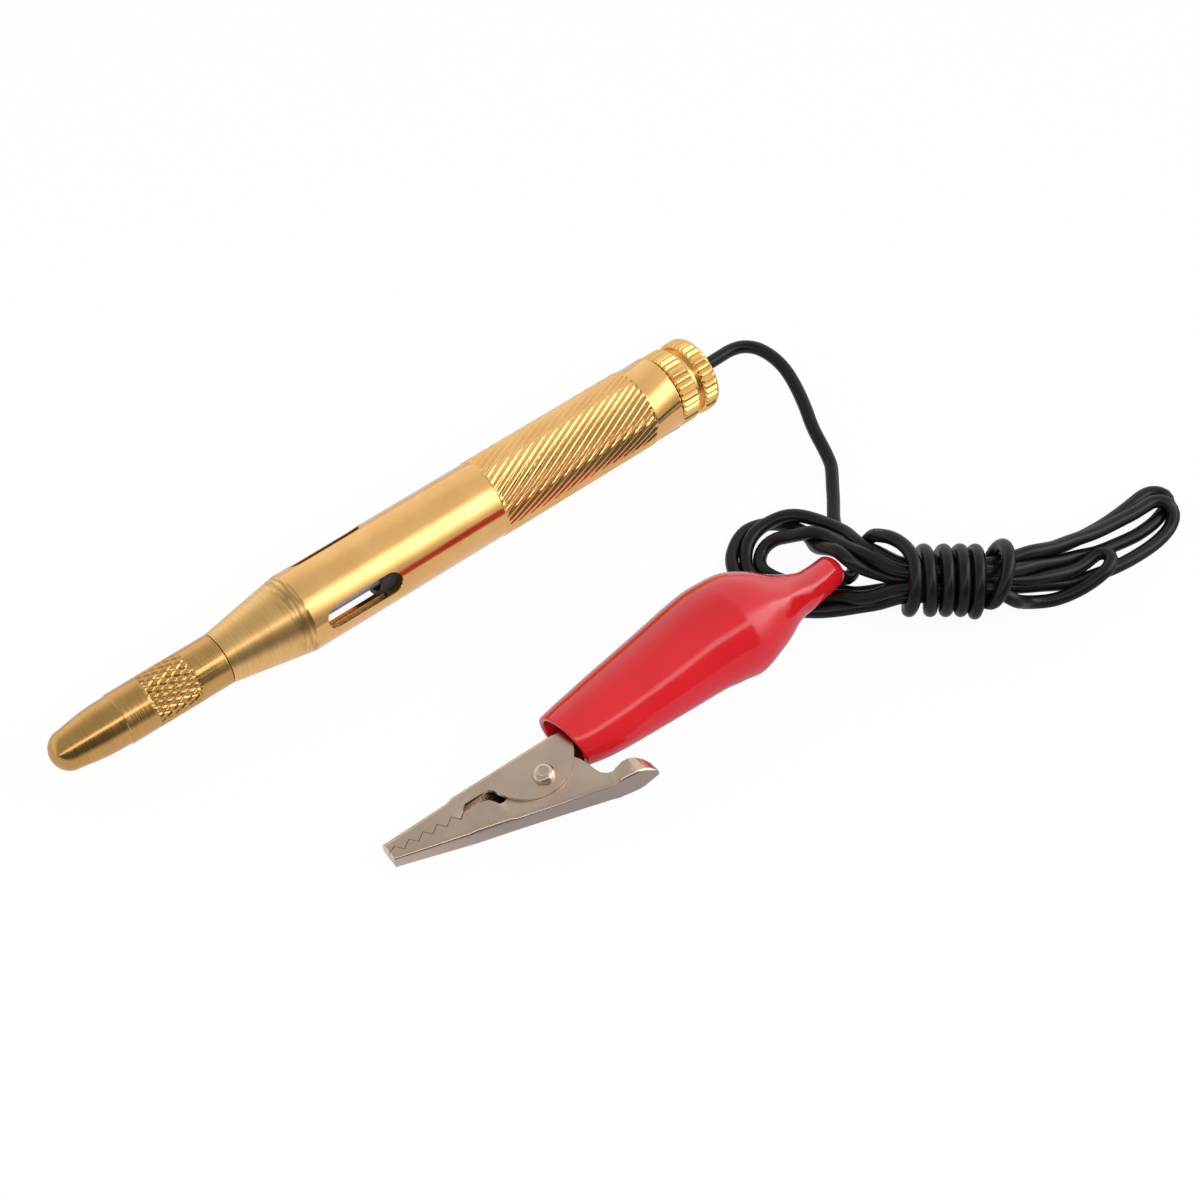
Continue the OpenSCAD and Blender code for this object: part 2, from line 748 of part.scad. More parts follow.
module lead_tail() {
    start = tail_end - crimp_length;
    inside = [[start, lead_y, 0], [start + crimp_length + 2, lead_y, 0]];
    bend = [for (l = [shoulder, 30, 34, 38, 42, boot_length, boot_length + 2.6]) boot_axis(l)];
    color("dimgray")
    in_clip_frame()
        bar(concat(inside, bend), lead_d / 2, 8);
}

barrel();
tip_cap();
needle();
lamp_front_cap();
lamp_glass();
lamp_filament();
lamp_rear_cap();
insulating_sleeve();
contact_cup();
contact_spring();
lead_terminal();
insulating_washer();
end_cap();
lead_core();
lead_run();
lead_hank();
lead_tail();
clip_upper_jaw();
clip_lower_jaw();
clip_rivet();
clip_spring();
clip_boot();
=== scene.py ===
"""A brass pencil circuit tester with its wound lead and booted crocodile clip, dressed round the
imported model. Lengths are in millimetres until a mesh is made, and the tester lies along X.
"""

import math

import bmesh
import bpy
import numpy as np
from mathutils import Matrix, Vector


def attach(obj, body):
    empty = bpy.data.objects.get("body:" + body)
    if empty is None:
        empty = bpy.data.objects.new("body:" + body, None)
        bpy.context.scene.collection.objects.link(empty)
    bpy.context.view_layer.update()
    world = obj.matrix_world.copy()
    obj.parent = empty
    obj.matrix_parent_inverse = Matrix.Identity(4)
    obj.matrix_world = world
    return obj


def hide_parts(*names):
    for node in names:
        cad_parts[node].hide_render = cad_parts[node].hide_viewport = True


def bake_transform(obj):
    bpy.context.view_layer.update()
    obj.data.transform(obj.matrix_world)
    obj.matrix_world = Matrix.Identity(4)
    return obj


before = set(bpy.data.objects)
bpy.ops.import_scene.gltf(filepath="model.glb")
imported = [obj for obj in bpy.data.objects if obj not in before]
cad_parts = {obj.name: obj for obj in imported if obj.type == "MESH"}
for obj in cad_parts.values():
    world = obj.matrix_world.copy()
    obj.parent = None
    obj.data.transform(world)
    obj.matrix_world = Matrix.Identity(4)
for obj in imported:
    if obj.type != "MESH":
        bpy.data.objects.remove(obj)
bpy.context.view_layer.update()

MM = 0.001

# Driving sizes, as in the source of the solids
BARREL_R = 6.0
BORE_R = 4.6
GRIP_RISE = 0.1
BARREL_LENGTH = 78.2
NOSE_LENGTH = 12.5
GRIP_START, GRIP_END = 45.3, 73.2
WINDOW_START, WINDOW_LENGTH, WINDOW_W = 14.6, 12.4, 3.5
TIP_CAP_LENGTH, TIP_CAP_R, TIP_STRAIGHT, TIP_DOME_R = 26.6, 3.85, 16.1, 2.95
END_CAP_R, END_CAP_LENGTH = 5.875, 7.5
LEAD_R = 1.0
CLIP_W, NOSE_W = 4.5, 2.3
JAW_REACH, BOOT_H, BOOT_W, BOOT_WALL = 22.5, 14.2, 15.1, 0.8
BOOT_X, BOOT_Y, SHOULDER, BOOT_LENGTH = 5.7, 3.65, 27.0, 47.5
RIVET_R = 1.6

# The windows' turns, from the bottom towards +Y, and the end cap's serrations, as measured in
# the photograph later: the solids have 12.5 degrees for the first window, and 42 serrations
WINDOW_TURNS = (7.5, 132.5, 252.5)
SERRATIONS = 36

# The knurls of the barrel's grip and of the tip cap's band: lines round the axis, the length
# in which a line climbs one step, a groove's depth, and its half width as a share of the step
GRIP_LINES, GRIP_PITCH, GRIP_DEPTH, GRIP_GROOVE = 37, 2.2, 0.2, 0.38
CROSS_DEPTH, CROSS_GROOVE = 0.03, 0.12
BAND_LINES, BAND_PITCH, BAND_DEPTH, BAND_GROOVE = 22, 2.2, 0.2, 0.24
BAND_START, BAND_END = -11.9, -4.9

OVERALL = TIP_CAP_LENGTH + BARREL_LENGTH + END_CAP_LENGTH
SEAM_X = TIP_CAP_LENGTH - OVERALL / 2
AXIS_Z = BARREL_R + GRIP_RISE
CLIP_AT = np.array([-6.38, -42.73, 0.0])
CLIP_YAW = math.radians(-3)
CLIP_TILT = math.asin((BOOT_H - NOSE_W) / 2 / (BOOT_X + SHOULDER + JAW_REACH))
CLIP_AT[2] = NOSE_W / 2 + JAW_REACH * math.sin(CLIP_TILT)
TO_CLIP = (Matrix.Rotation(CLIP_TILT, 4, "Y") @ Matrix.Rotation(-CLIP_YAW, 4, "Z")
           @ Matrix.Translation(-Vector(CLIP_AT) * MM))


def set_camera():
    """The photograph's view, fitted to the tester's edges in it: 52 degrees down and 39 degrees
    round from the tester's side, through a long lens."""
    lens_mm, sensor_mm = 72, 36
    data = bpy.data.cameras.new("camera")
    data.lens, data.sensor_width = lens_mm, sensor_mm
    data.clip_start, data.clip_end = 0.01, 5
    camera = bpy.data.objects.new("camera", data)
    bpy.context.scene.collection.objects.link(camera)
    right = Vector((0.77769, -0.62865, 0))
    up = Vector((0.4963, 0.6140, 0.6137))
    back = Vector((-0.38583, -0.47730, 0.78951))
    turn = Matrix((right, up, back)).transposed().to_4x4()
    camera.matrix_world = Matrix.Translation((-0.11175, -0.18457, 0.27030)) @ turn
    bpy.context.scene.camera = camera


set_camera()


def laid_as_clip(points):
    """Points of the clip's own frame, tilted up towards the boot, yawed and moved to the rivet."""
    p = np.asarray(points, float)
    c, s = math.cos(CLIP_TILT), math.sin(CLIP_TILT)
    x, z = p[..., 0] * c - p[..., 2] * s, p[..., 0] * s + p[..., 2] * c
    cy, sy = math.cos(CLIP_YAW), math.sin(CLIP_YAW)
    return np.stack([x * cy - p[..., 1] * sy, x * sy + p[..., 1] * cy, z], -1) + CLIP_AT


def eased(stations, values, at):
    """A cubic through the pairs whose slope at each is the mean of its neighbours' slopes, or
    none where they turn, so that it never overshoots."""
    xs, ys = np.asarray(stations, float), np.asarray(values, float)
    h, d = np.diff(xs), np.diff(ys) / np.diff(xs)
    m = np.r_[d[0], np.where(d[:-1] * d[1:] > 0, (d[:-1] * h[1:] + d[1:] * h[:-1])
                             / (h[:-1] + h[1:]), 0), d[-1]]
    i = np.clip(np.searchsorted(xs, at) - 1, 0, len(h) - 1)
    t = (at - xs[i]) / h[i]
    return ((1 + 2 * t) * (1 - t) ** 2 * ys[i] + t * (1 - t) ** 2 * h[i] * m[i]
            + t * t * (3 - 2 * t) * ys[i + 1] + t * t * (t - 1) * h[i] * m[i + 1])


def softened(profile, radius):
    """A profile whose corners are turned to short arcs: each corner becomes five points of a
    parabola between points one radius away, with one more point beside each end."""
    p = np.asarray(profile, float)
    out = [p[0]]
    for a, b, c in zip(p[:-2], p[1:-1], p[2:]):
        la, lc = np.linalg.norm(a - b), np.linalg.norm(c - b)
        r = min(radius, la * 0.45, lc * 0.45)
        start, end = b + (a - b) / la * r, b + (c - b) / lc * r
        out.append(b + (a - b) / la * r * 1.1)
        out += [(1 - t) ** 2 * start + 2 * t * (1 - t) * b + t * t * end
                for t in (0, 0.25, 0.5, 0.75, 1)]
        out.append(b + (c - b) / lc * r * 1.1)
    out.append(p[-1])
    return np.array(out)


def refined(profile, step):
    """The profile with more points, at most one step apart."""
    p = np.asarray(profile, float)
    out = [p[:1]]
    for a, b in zip(p[:-1], p[1:]):
        n = max(int(math.ceil(np.linalg.norm(b - a) / step)), 1)
        out.append(a + (b - a) * np.arange(1, n + 1)[:, None] / n)
    return np.vstack(out)


def grid_faces(rows, columns, round_rows=False):
    """Quads between neighbouring rows of a grid whose columns close round."""
    r, c = np.meshgrid(np.arange(rows if round_rows else rows - 1), np.arange(columns),
                       indexing="ij")
    a, b = r * columns + c, r * columns + (c + 1) % columns
    up = columns * ((r + 1) % rows)
    d, e = up + c, up + (c + 1) % columns
    return np.stack([a, b, e, d], -1).reshape(-1, 4)


def mesh_of(name, points, faces, caps=()):
    """A closed mesh from millimetre points: doubles merged, faces turned outwards."""
    mesh = bpy.data.meshes.new(name)
    flat = (np.asarray(points, float).reshape(-1, 3) * MM).tolist()
    mesh.from_pydata(flat, [], faces.tolist() + [list(map(int, cap)) for cap in caps])
    work = bmesh.new()
    work.from_mesh(mesh)
    bmesh.ops.remove_doubles(work, verts=work.verts, dist=1e-7)
    bmesh.ops.recalc_face_normals(work, faces=work.faces)
    work.to_mesh(mesh)
    work.free()
    return mesh


def piece(mesh, finish, slot, body, *nodes, crisp=32):
    """The finished piece: smooth but for corners sharper than the given angle, if one is given.
    It rides on its body, or on none if none is given."""
    if crisp:
        mesh.polygons.foreach_set("use_smooth", np.ones(len(mesh.polygons), bool))
        mesh.set_sharp_from_angle(angle=math.radians(crisp))
    mesh.materials.clear()
    mesh.materials.append(finish)
    obj = bpy.data.objects.new(mesh.name, mesh)
    bpy.context.scene.collection.objects.link(obj)
    if body:
        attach(obj, body)
    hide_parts(*nodes)
    return obj


def rings_mesh(name, rings, round_rows=False):
    """A skin over rings of points, closed round a loop of rings or by a face at either end."""
    rows, columns = rings.shape[:2]
    caps = () if round_rows else (range(columns), range((rows - 1) * columns, rows * columns))
    return mesh_of(name, rings, grid_faces(rows, columns, round_rows), caps)


def pole_mesh(name, rings):
    """A skin over rings whose first and last are drawn in to a point on the axis."""
    return mesh_of(name, rings, grid_faces(*rings.shape[:2]))


def turned_rings(profile, columns, radius_at=None, shift=0.0):
    """A profile of station and radius carried round the tester's axis. The angle is measured
    from the top towards +Y, and grows by shift with each millimetre; radius_at may change the
    radius from station, radius and angle."""
    p = np.asarray(profile, float)
    angle = 2 * np.pi * np.arange(columns) / columns + shift * p[:, :1]
    station = np.broadcast_to(p[:, :1], angle.shape)
    radius = np.broadcast_to(p[:, 1:], angle.shape)
    if radius_at:
        radius = radius_at(station, radius, angle)
    return np.stack([SEAM_X + station, radius * np.sin(angle),
                     AXIS_Z + radius * np.cos(angle)], -1)


def swept_rings(path, radius, sides):
    """Rings of a round bar along a path. Each ring's frame is the last one's, turned as little
    as the path turns."""
    path = np.asarray(path, float)
    tangent = np.gradient(path, axis=0)
    tangent /= np.linalg.norm(tangent, axis=1, keepdims=True)
    side = np.cross(tangent[0], [0, 0, 1.0])
    frames = []
    for t in tangent:
        side = side - t * (side @ t)
        side /= np.linalg.norm(side)
        frames.append(side)
    side = np.array(frames)
    up = np.cross(side, tangent)
    turn = 2 * np.pi * np.arange(sides) / sides
    r = np.broadcast_to(np.asarray(radius, float), (len(path),))[:, None, None]
    return path[:, None] + r * (side[:, None] * np.cos(turn)[:, None]
                                + up[:, None] * np.sin(turn)[:, None])


# From the terminal in the barrel to the wound hank
RUN = [[41.2, 0, 6.1], [47.4, 0, 6.1], [56.2, 0, 6.1], [60, 0, 6.1], [63.15, 0, 6.1],
       [65.2, -0.9, 6.2], [66.4, -2.6, 6.2], [67.1, -4.9, 5.9], [67.3, -7.5, 5.3],
       [66.6, -11, 4.5], [65.4, -14.5, 3.7], [64.1, -17.6, 3], [63.2, -20.9, 2.2],
       [62.1, -24, 1.6], [60.2, -26.4, 1.2], [58, -29.1, 1], [56.1, -31.2, 1], [54.9, -33, 1],
       [54.6, -35, 1], [54.8, -37.3, 1], [54.9, -40.1, 1.6], [54.9, -42.8, 2.8]]
# The folds of the hank, by end and in the order that the lead takes them
RIGHT_FOLDS = [
    [[72.4, -56.7, 4], [78.1, -57.1, 2.6], [83.5, -57.3, 1.6], [87.9, -57.2, 1.1],
     [91.4, -57, 1], [94.4, -56.9, 1], [96.6, -57.5, 1], [97.4, -58.9, 1], [96.6, -60.4, 1],
     [94.1, -61.2, 1], [90.8, -61.5, 1], [87.8, -61.5, 1], [84.2, -60.8, 1], [80.8, -60.3, 1.4],
     [77.5, -59.6, 2.2], [72.3, -58.7, 4]],
    [[71.2, -60.2, 1.8], [75.3, -62, 1.1], [78.4, -63, 1], [81.9, -63.8, 1], [85.9, -64.2, 1],
     [89.4, -64.2, 1], [92.1, -63.7, 1], [93.9, -62.8, 1.2], [95, -61.5, 1.8], [94.7, -60.2, 2.7],
     [93, -59.6, 3.1], [90, -59.5, 3.2], [85.6, -59, 3.3], [81.7, -58.6, 3.6],
     [76.8, -57.8, 4.5], [71.3, -57.4, 6]],
    [[67.2, -60.6, 1], [69.4, -62.1, 1], [72.2, -63.1, 1.2], [74.9, -64.1, 2.4],
     [77.4, -64.4, 3.4], [79.6, -63.9, 3.8], [81.1, -62.6, 3.8], [80.8, -61.2, 3.4],
     [79.4, -60.8, 2.8], [76.8, -61.1, 2.4], [73.9, -61.1, 2.6], [71.2, -59.9, 3.6]]]
LEFT_FOLDS = [
    [[51.4, -45.2, 7.4], [50.6, -41.7, 7], [49.9, -38.2, 6.2], [49.3, -35.4, 5.4],
     [48.2, -33.1, 4.4], [46.8, -31.1, 3.4], [45.4, -29.7, 2.4], [44, -29.3, 1.5],
     [42.7, -29.8, 1], [41.5, -31.1, 1], [40.9, -32.6, 1], [42, -34.4, 1], [43, -36.8, 1],
     [44.8, -38.6, 1], [46.6, -40.4, 1], [48.4, -43.4, 1], [50.5, -45.4, 1.8]],
    [[53.4, -44.5, 6.6], [53.2, -42, 6], [53.2, -39.4, 5.4], [53, -36.7, 5], [52.4, -33.8, 4.4],
     [51.7, -31.1, 3.8], [50.4, -28.9, 3.3], [48.8, -27.7, 3], [46.7, -27.1, 2.8],
     [44.3, -27.1, 2.4], [42.1, -27.7, 1.8], [40.8, -28.8, 1.2], [39.4, -30.7, 1],
     [39.6, -33.8, 1], [40.2, -36.8, 1], [41.4, -39.4, 1], [43.6, -41.6, 1.1],
     [45.8, -43.4, 1.9], [47.3, -45.8, 2.8], [49.6, -47.5, 4]],
    [[51.1, -45.4, 5.7], [50.2, -44, 6], [48.9, -42.7, 6.7], [48, -41.4, 7.2], [47.8, -39.8, 7],
     [48, -38, 6.2], [48.4, -35.9, 5.1], [48.9, -34, 4.1], [49.5, -31.9, 3.1], [49.8, -30.1, 2.1],
     [49.5, -28.3, 1.4], [48.9, -27, 1.1], [47.2, -26, 1], [44.8, -25.1, 1],
     [42.6, -25.6, 1], [40.8, -26.9, 1], [39.5, -28.2, 1], [38.3, -30, 1], [37.6, -33.6, 1],
     [38.2, -36.8, 1], [39.8, -39.6, 1], [41.8, -41.8, 1], [45.1, -44, 1], [47.6, -45.7, 1],
     [50, -47.5, 1.6]]]
# From the last turn under the upper strands to the boot's sleeve
ARCH = [[55.1, -46.2, 9.5], [54.7, -43.6, 9.2], [54.3, -42, 8.3], [53.9, -40.5, 6.6],
        [53.9, -39.4, 4.6], [52.6, -39.6, 3.2], [50.6, -41, 2.6], [48.6, -42, 2.9]]

# In the clip's own frame, along its crimped tail
LEAD_IN_CLIP = [[26, 2.48, 0], [20, 2.48, 0]]

# The bound waist of the hank: its middle, its directions, the radius and the first place of the
# six passes round a middle one, and the radius of the turns that bind them
WAIST_AT = np.array([57.65, -52.2, 5.4])
WAIST_ALONG = np.array([0.77769, -0.62865, 0])
WAIST_SIDE = np.array([0.62865, 0.77769, 0])
PASS_R, FIRST_PASS = 2.25, 37.9
TURN_R = 4.4


def at_waist(along, degrees, radius):
    """A point of the bound waist: a distance along it and a turn round it."""
    a = math.radians(degrees)
    return (WAIST_AT + WAIST_ALONG * along + WAIST_SIDE * radius * math.cos(a)
            + np.array([0, 0, radius * math.sin(a)]))


def waist_pass(place, start, end):
    """One straight pass of the lead through the waist, in one of six places round its middle,
    or in the middle itself."""
    radius = 0 if place is None else PASS_R
    turn = 0 if place is None else FIRST_PASS + 60 * place
    return [at_waist(u, turn, radius) for u in np.linspace(start, end, 5)]


def waist_turn(bottom, top, after):
    """One turn of the binding: up the front from its lowest point and down the back."""
    front = [at_waist(bottom + (top - bottom) * k / 4, -142 - 45 * k, TURN_R) for k in range(5)]
    back = [at_waist(top + (after - top) * share, -322 - turn, TURN_R)
            for turn, share in ((45, 0.2), (90, 0.5), (135, 0.8))]
    return front + back


def boot_axis(l):
    """The boot's middle line: straight to the shoulder, an even bend down, then straight, with
    a bow to one side."""
    l = np.asarray(l, float)
    droop, bend_end = math.radians(19), 40.0
    bend_r = (bend_end - SHOULDER) / droop
    a = np.clip(l - SHOULDER, 0, bend_end - SHOULDER) / bend_r
    rest = np.maximum(l - bend_end, 0)
    bow = eased([0, 6, 12, 18, 24, 28, 32, 36, 40, 44, 47.5, 50],
                [0, 0.05, 0.25, 0.5, 0.75, 0.5, 0.15, -0.1, -0.1, 0.5, 1.4, 2.2], l)
    return np.stack([BOOT_X + np.minimum(l, SHOULDER) + bend_r * np.sin(a) + rest * np.cos(a),
                     BOOT_Y + bow, -bend_r * (1 - np.cos(a)) - rest * np.sin(a)], -1)


def lead_points():
    """Every point that the lead is drawn through, from the terminal to the clip."""
    right, left = RIGHT_FOLDS, LEFT_FOLDS
    into_boot = [laid_as_clip(boot_axis(l)) for l in (47.5, 45, 42, 38, 34, 30)]
    parts = [RUN, waist_pass(5, -6.3, 5.6), right[0], waist_pass(1, 6.2, -6.3), left[0],
             waist_pass(4, -6.3, 5.6), right[1], waist_pass(0, 6.2, -6.3), left[1],
             waist_pass(2, -6.3, 5.4), [at_waist(8.4, 173, 3.6)], right[2],
             waist_pass(None, 6.2, -6.3), left[2], waist_pass(3, -6.3, 3),
             [at_waist(u, turn, r) for u, turn, r in (
                 (5.3, 214, 3.3), (6.7, 172, 4), (7.8, 130, 4.7), (8.4, 88, 5), (8.2, 45, 5.1),
                 (7.4, 5, 5), (6.3, -35, 4.7), (5.4, -75, 4.45), (4.7, -110, 4.4))],
             waist_turn(4.3, 4.25, 2.2), waist_turn(2.2, 2.1, 0.08), waist_turn(0.08, -0.2, -2.1),
             waist_turn(-2.1, -3, -5.1),
             [at_waist(u, turn, r) for u, turn, r in (
                 (-5.15, -142, 4.4), (-4.75, -187, 4.4), (-4.6, -232, 4.4), (-4.8, -272, 4.6),
                 (-5.8, -307, 5.1))],
             ARCH, into_boot]
    return np.vstack([np.asarray(p, float) for p in parts])


def evenly(path, count):
    """The same path with its points at equal steps."""
    run = np.r_[0, np.cumsum(np.linalg.norm(np.diff(path, axis=0), axis=1))]
    at = np.linspace(0, run[-1], count)
    return np.stack([np.interp(at, run, path[:, k]) for k in range(3)], 1)


def through(points, step):
    """A curve through the points: between two of them a cubic whose knots are spaced by the
    square root of the distance, which doesn't loop at close points."""
    p = np.vstack([2 * points[0] - points[1], points, 2 * points[-1] - points[-2]])
    knots = np.r_[0, np.cumsum(np.linalg.norm(np.diff(p, axis=0), axis=1) ** 0.5)]
    t0, t1, t2, t3 = (knots[k:len(knots) - 3 + k, None, None] for k in range(4))
    p0, p1, p2, p3 = (p[k:len(p) - 3 + k, None] for k in range(4))
    t = t1 + (t2 - t1) * (np.arange(12) / 12)[None, :, None]

    def between(a, b, ta, tb):
        return ((tb - t) * a + (t - ta) * b) / (tb - ta)

    a1, a2, a3 = between(p0, p1, t0, t1), between(p1, p2, t1, t2), between(p2, p3, t2, t3)
    b1, b2 = between(a1, a2, t0, t2), between(a2, a3, t1, t3)
    curve = np.vstack([between(b1, b2, t1, t2).reshape(-1, 3), points[-1:]])
    length = np.linalg.norm(np.diff(curve, axis=0), axis=1).sum()
    return evenly(curve, int(round(length / step)) + 1)


def bends_eased(path, limit):
    """The path with its points spread along it, and moved where it bends more than the limit."""
    curl, t = np.zeros_like(path), np.zeros_like(path)
    curl[1:-1] = (path[:-2] + path[2:]) / 2 - path[1:-1]
    t[1:-1] = path[2:] - path[:-2]
    t /= np.maximum(np.linalg.norm(t, axis=1, keepdims=True), 1e-9)
    along = (curl * t).sum(1, keepdims=True) * t
    across = curl - along
    size = np.linalg.norm(across, axis=1, keepdims=True)
    excess = across * np.maximum(1 - limit / np.maximum(size, 1e-9), 0)
    move = 0.6 * excess
    move[1:] -= 0.3 * excess[:-1]
    move[:-1] -= 0.3 * excess[1:]
    return path + move + 0.3 * along + 0.02 * across


def strands_parted(path, i, j, apart):
    """The path with the points i and j of near strands pushed to the distance apart."""
    gap = path[i] - path[j]
    r = np.linalg.norm(gap, axis=1)
    lack = np.maximum(apart - r, 0) / np.maximum(r, 1e-6)
    push, count = np.zeros_like(path), np.zeros(len(path))
    for at, way in ((i, 1), (j, -1)):
        np.add.at(push, at, way * gap * lack[:, None] / 2)
    for at in (i, j):
        np.add.at(count, at, lack > 0)
    return path + push / np.maximum(count, 1)[:, None] * 1.5


def off_the_boot(path, boot_at, boot_r, last):
    """The path with the points before the last one kept out of the boot's round sections."""
    index = np.arange(len(path))
    gap = path[:, None] - boot_at[None]
    r = np.linalg.norm(gap, axis=2)
    closest = (r - boot_r).argmin(1)
    r = np.maximum(r[index, closest], 1e-6)
    clear = boot_r + LEAD_R * 0.85
    out = np.maximum(clear[closest] - r, 0) * (index < last)
    return path + gap[index, closest] / r[:, None] * out[:, None]


def settled(path, rounds=300, apart=2.02, tightest=3.4, fixed=68, end_fixed=22):
    """The path as a limp lead lies: strands that cross are pushed one diameter apart, what
    bends more than the tightest radius is eased, and nothing sinks into the table or the boot.
    Both ends stay where they are, and the rest is drawn back a little to its first place."""
    first, n = path.copy(), len(path)
    leaving = 16  # the points before the fixed end that may touch the boot
    boot_l = np.arange(32.5, BOOT_LENGTH + 0.1, 0.5)
    boot_at = laid_as_clip(boot_axis(boot_l))
    boot_r = np.interp(boot_l, [32.5, 34.5, 36.5, 38.5, 41, 47.5], [6.3, 5.3, 4.3, 3.5, 2.92, 2.4])
    for k in range(rounds):
        if k % 20 == 0:
            h = np.linalg.norm(np.diff(path, axis=0), axis=1).mean()
            limit = h * h / (2 * tightest)
            near = ((path[:, None] - path[None]) ** 2).sum(2) < (2 * apart) ** 2
            i, j = np.nonzero(np.triu(near, int(4.4 / h)))
        path = bends_eased(path, limit)
        for _ in range(2):
            path = strands_parted(path, i, j, apart)
        path = off_the_boot(path, boot_at, boot_r, n - end_fixed - leaving)
        path[:, 2] = np.maximum(path[:, 2], LEAD_R)
        drawn_back = 0.05 if k < rounds * 0.7 else 0.0125
        path = path + drawn_back * (first - path)
        path[:fixed], path[-end_fixed:] = first[:fixed], first[-end_fixed:]
    return evenly(path, n)


def lead_path():
    """The settled path, led on into the clip, smoothed and divided into fine steps."""
    rough_step, fine_step = 1.0, 0.7
    path = settled(through(lead_points(), rough_step))
    tail = through(np.vstack([path[-3:], laid_as_clip(LEAD_IN_CLIP)]), rough_step)
    path = np.vstack([path[:-3], tail])
    return evenly(through(path[::2], fine_step), int(len(path) * 1.4))


class Finish:
    """A material whose nodes are added one by one and joined to its main shader."""

    def __init__(self, name):
        self.made = bpy.data.materials.new(name)
        self.made.use_nodes = True
        self.tree = self.made.node_tree
        self.shader = self.tree.nodes["Principled BSDF"]

    def node(self, kind, inputs=(), **settings):
        made = self.tree.nodes.new("ShaderNode" + kind)
        for key, value in settings.items():
            setattr(made, key, value)
        for key, value in dict(inputs).items():
            self.join(value, made.inputs[key])
        return made

    def join(self, value, socket):
        if isinstance(value, bpy.types.NodeSocket):
            self.tree.links.new(value, socket)
        else:
            socket.default_value = value

    def surface(self, **values):
        for key, value in values.items():
            label = " ".join(word.title() for word in key.split("_")).replace("Ior", "IOR")
            self.join(value, self.shader.inputs[label])

    def place(self, scale=(1, 1, 1)):
        """Object coordinates in metres, scaled."""
        coordinates = self.node("TexCoord").outputs["Object"]
        return self.node("Mapping", {"Vector": coordinates, "Scale": scale}).outputs["Vector"]

    def noise(self, vector, scale, detail=3.0, roughness=0.55):
        return self.node("TexNoise", {"Vector": vector, "Scale": scale, "Detail": detail,
                                      "Roughness": roughness}).outputs["Fac"]

    def between(self, value, low, high, to_low=0.0, to_high=1.0):
        return self.node("MapRange", {"Value": value, "From Min": low, "From Max": high,
                                      "To Min": to_low, "To Max": to_high}).outputs["Result"]

    def mixed(self, share, a, b):
        made = self.node("Mix", data_type="RGBA")
        for value, socket in ((share, made.inputs[0]), (a, made.inputs[6]), (b, made.inputs[7])):
            self.join(value, socket)
        return made.outputs[2]

    def math(self, operation, a, b=0.0):
        made = self.node("Math", operation=operation)
        self.join(a, made.inputs[0])
        self.join(b, made.inputs[1])
        return made.outputs[0]

    def bump(self, height, distance):
        made = self.node("Bump", {"Height": height, "Distance": distance, "Strength": 1.0})
        self.join(made.outputs["Normal"], self.shader.inputs["Normal"])


def rgb(r, g, b):
    return (r, g, b, 1.0)


def turned_brass(name, light, dark, rough, marks):
    """Brass from the lathe: fine rings round the axis in colour, gloss and height, and a slow
    change of tone."""
    f = Finish(name)
    rings = f.noise(f.place(scale=(9, 0.25, 0.25)), 900, 2.0)
    cloud = f.noise(f.place(), 160, 3.0)
    share = f.math("ADD", f.math("MULTIPLY", rings, 0.45), f.math("MULTIPLY", cloud, 0.6))
    f.surface(metallic=1.0,
              base_color=f.mixed(f.between(share, 0.35, 0.7), rgb(*dark), rgb(*light)),
              roughness=f.between(rings, 0.3, 0.7, rough - 0.04, rough + 0.06))
    f.bump(rings, marks)
    return f.made


def barrel_brass():
    """Turned brass: plain on the barrel, duller with fine turning marks on the nose cone, and
    with coarse dark ones in the zone behind its shoulder."""
    f = Finish("barrel_brass")
    shoulder = (SEAM_X + NOSE_LENGTH) * MM
    x = f.node("SeparateXYZ", {"Vector": f.place()}).outputs["X"]
    on_nose = f.between(x, shoulder, shoulder - 0.0002)
    low_nose = f.math("MULTIPLY", on_nose, f.between(x, shoulder - 0.0035, shoulder - 0.0015))
    rings = f.noise(f.place(scale=(9, 0.2, 0.2)), 900, 2.0)
    coarse = f.noise(f.place(scale=(4, 0.5, 0.5)), 700, 2.0)
    cloud = f.noise(f.place(), 150, 3.0)
    plain = f.mixed(f.between(cloud, 0.35, 0.65), rgb(0.80, 0.45, 0.15), rgb(0.88, 0.525, 0.185))
    nose = f.mixed(f.between(rings, 0.42, 0.62), rgb(0.82, 0.49, 0.175), rgb(0.95, 0.59, 0.22))
    zone = f.mixed(f.between(coarse, 0.4, 0.62), rgb(0.56, 0.32, 0.11), rgb(0.92, 0.57, 0.21))
    f.surface(metallic=1.0, base_color=f.mixed(low_nose, f.mixed(on_nose, plain, nose), zone),
              roughness=f.between(on_nose, 0, 1, 0.15, 0.33), coat_weight=0.3,
              coat_roughness=0.1)
    f.bump(f.math("MULTIPLY", rings, f.between(on_nose, 0, 1, 0.08, 0.35)), 0.000012)
    return f.made


def nickel_plate():
    """Satin nickel on sheet steel: grey with a warm cast, faint brushing and dull patches."""
    f = Finish("nickel_plate")
    brushing = f.noise(f.place(scale=(0.6, 3, 3)), 1500, 3.0)
    cloud = f.noise(f.place(), 220, 2.0)
    f.surface(metallic=1.0,
              base_color=f.mixed(f.between(cloud, 0.3, 0.7), rgb(0.66, 0.515, 0.40),
                                 rgb(0.72, 0.565, 0.44)),
              roughness=f.between(cloud, 0.3, 0.7, 0.2, 0.27))
    f.bump(brushing, 0.000003)
    return f.made


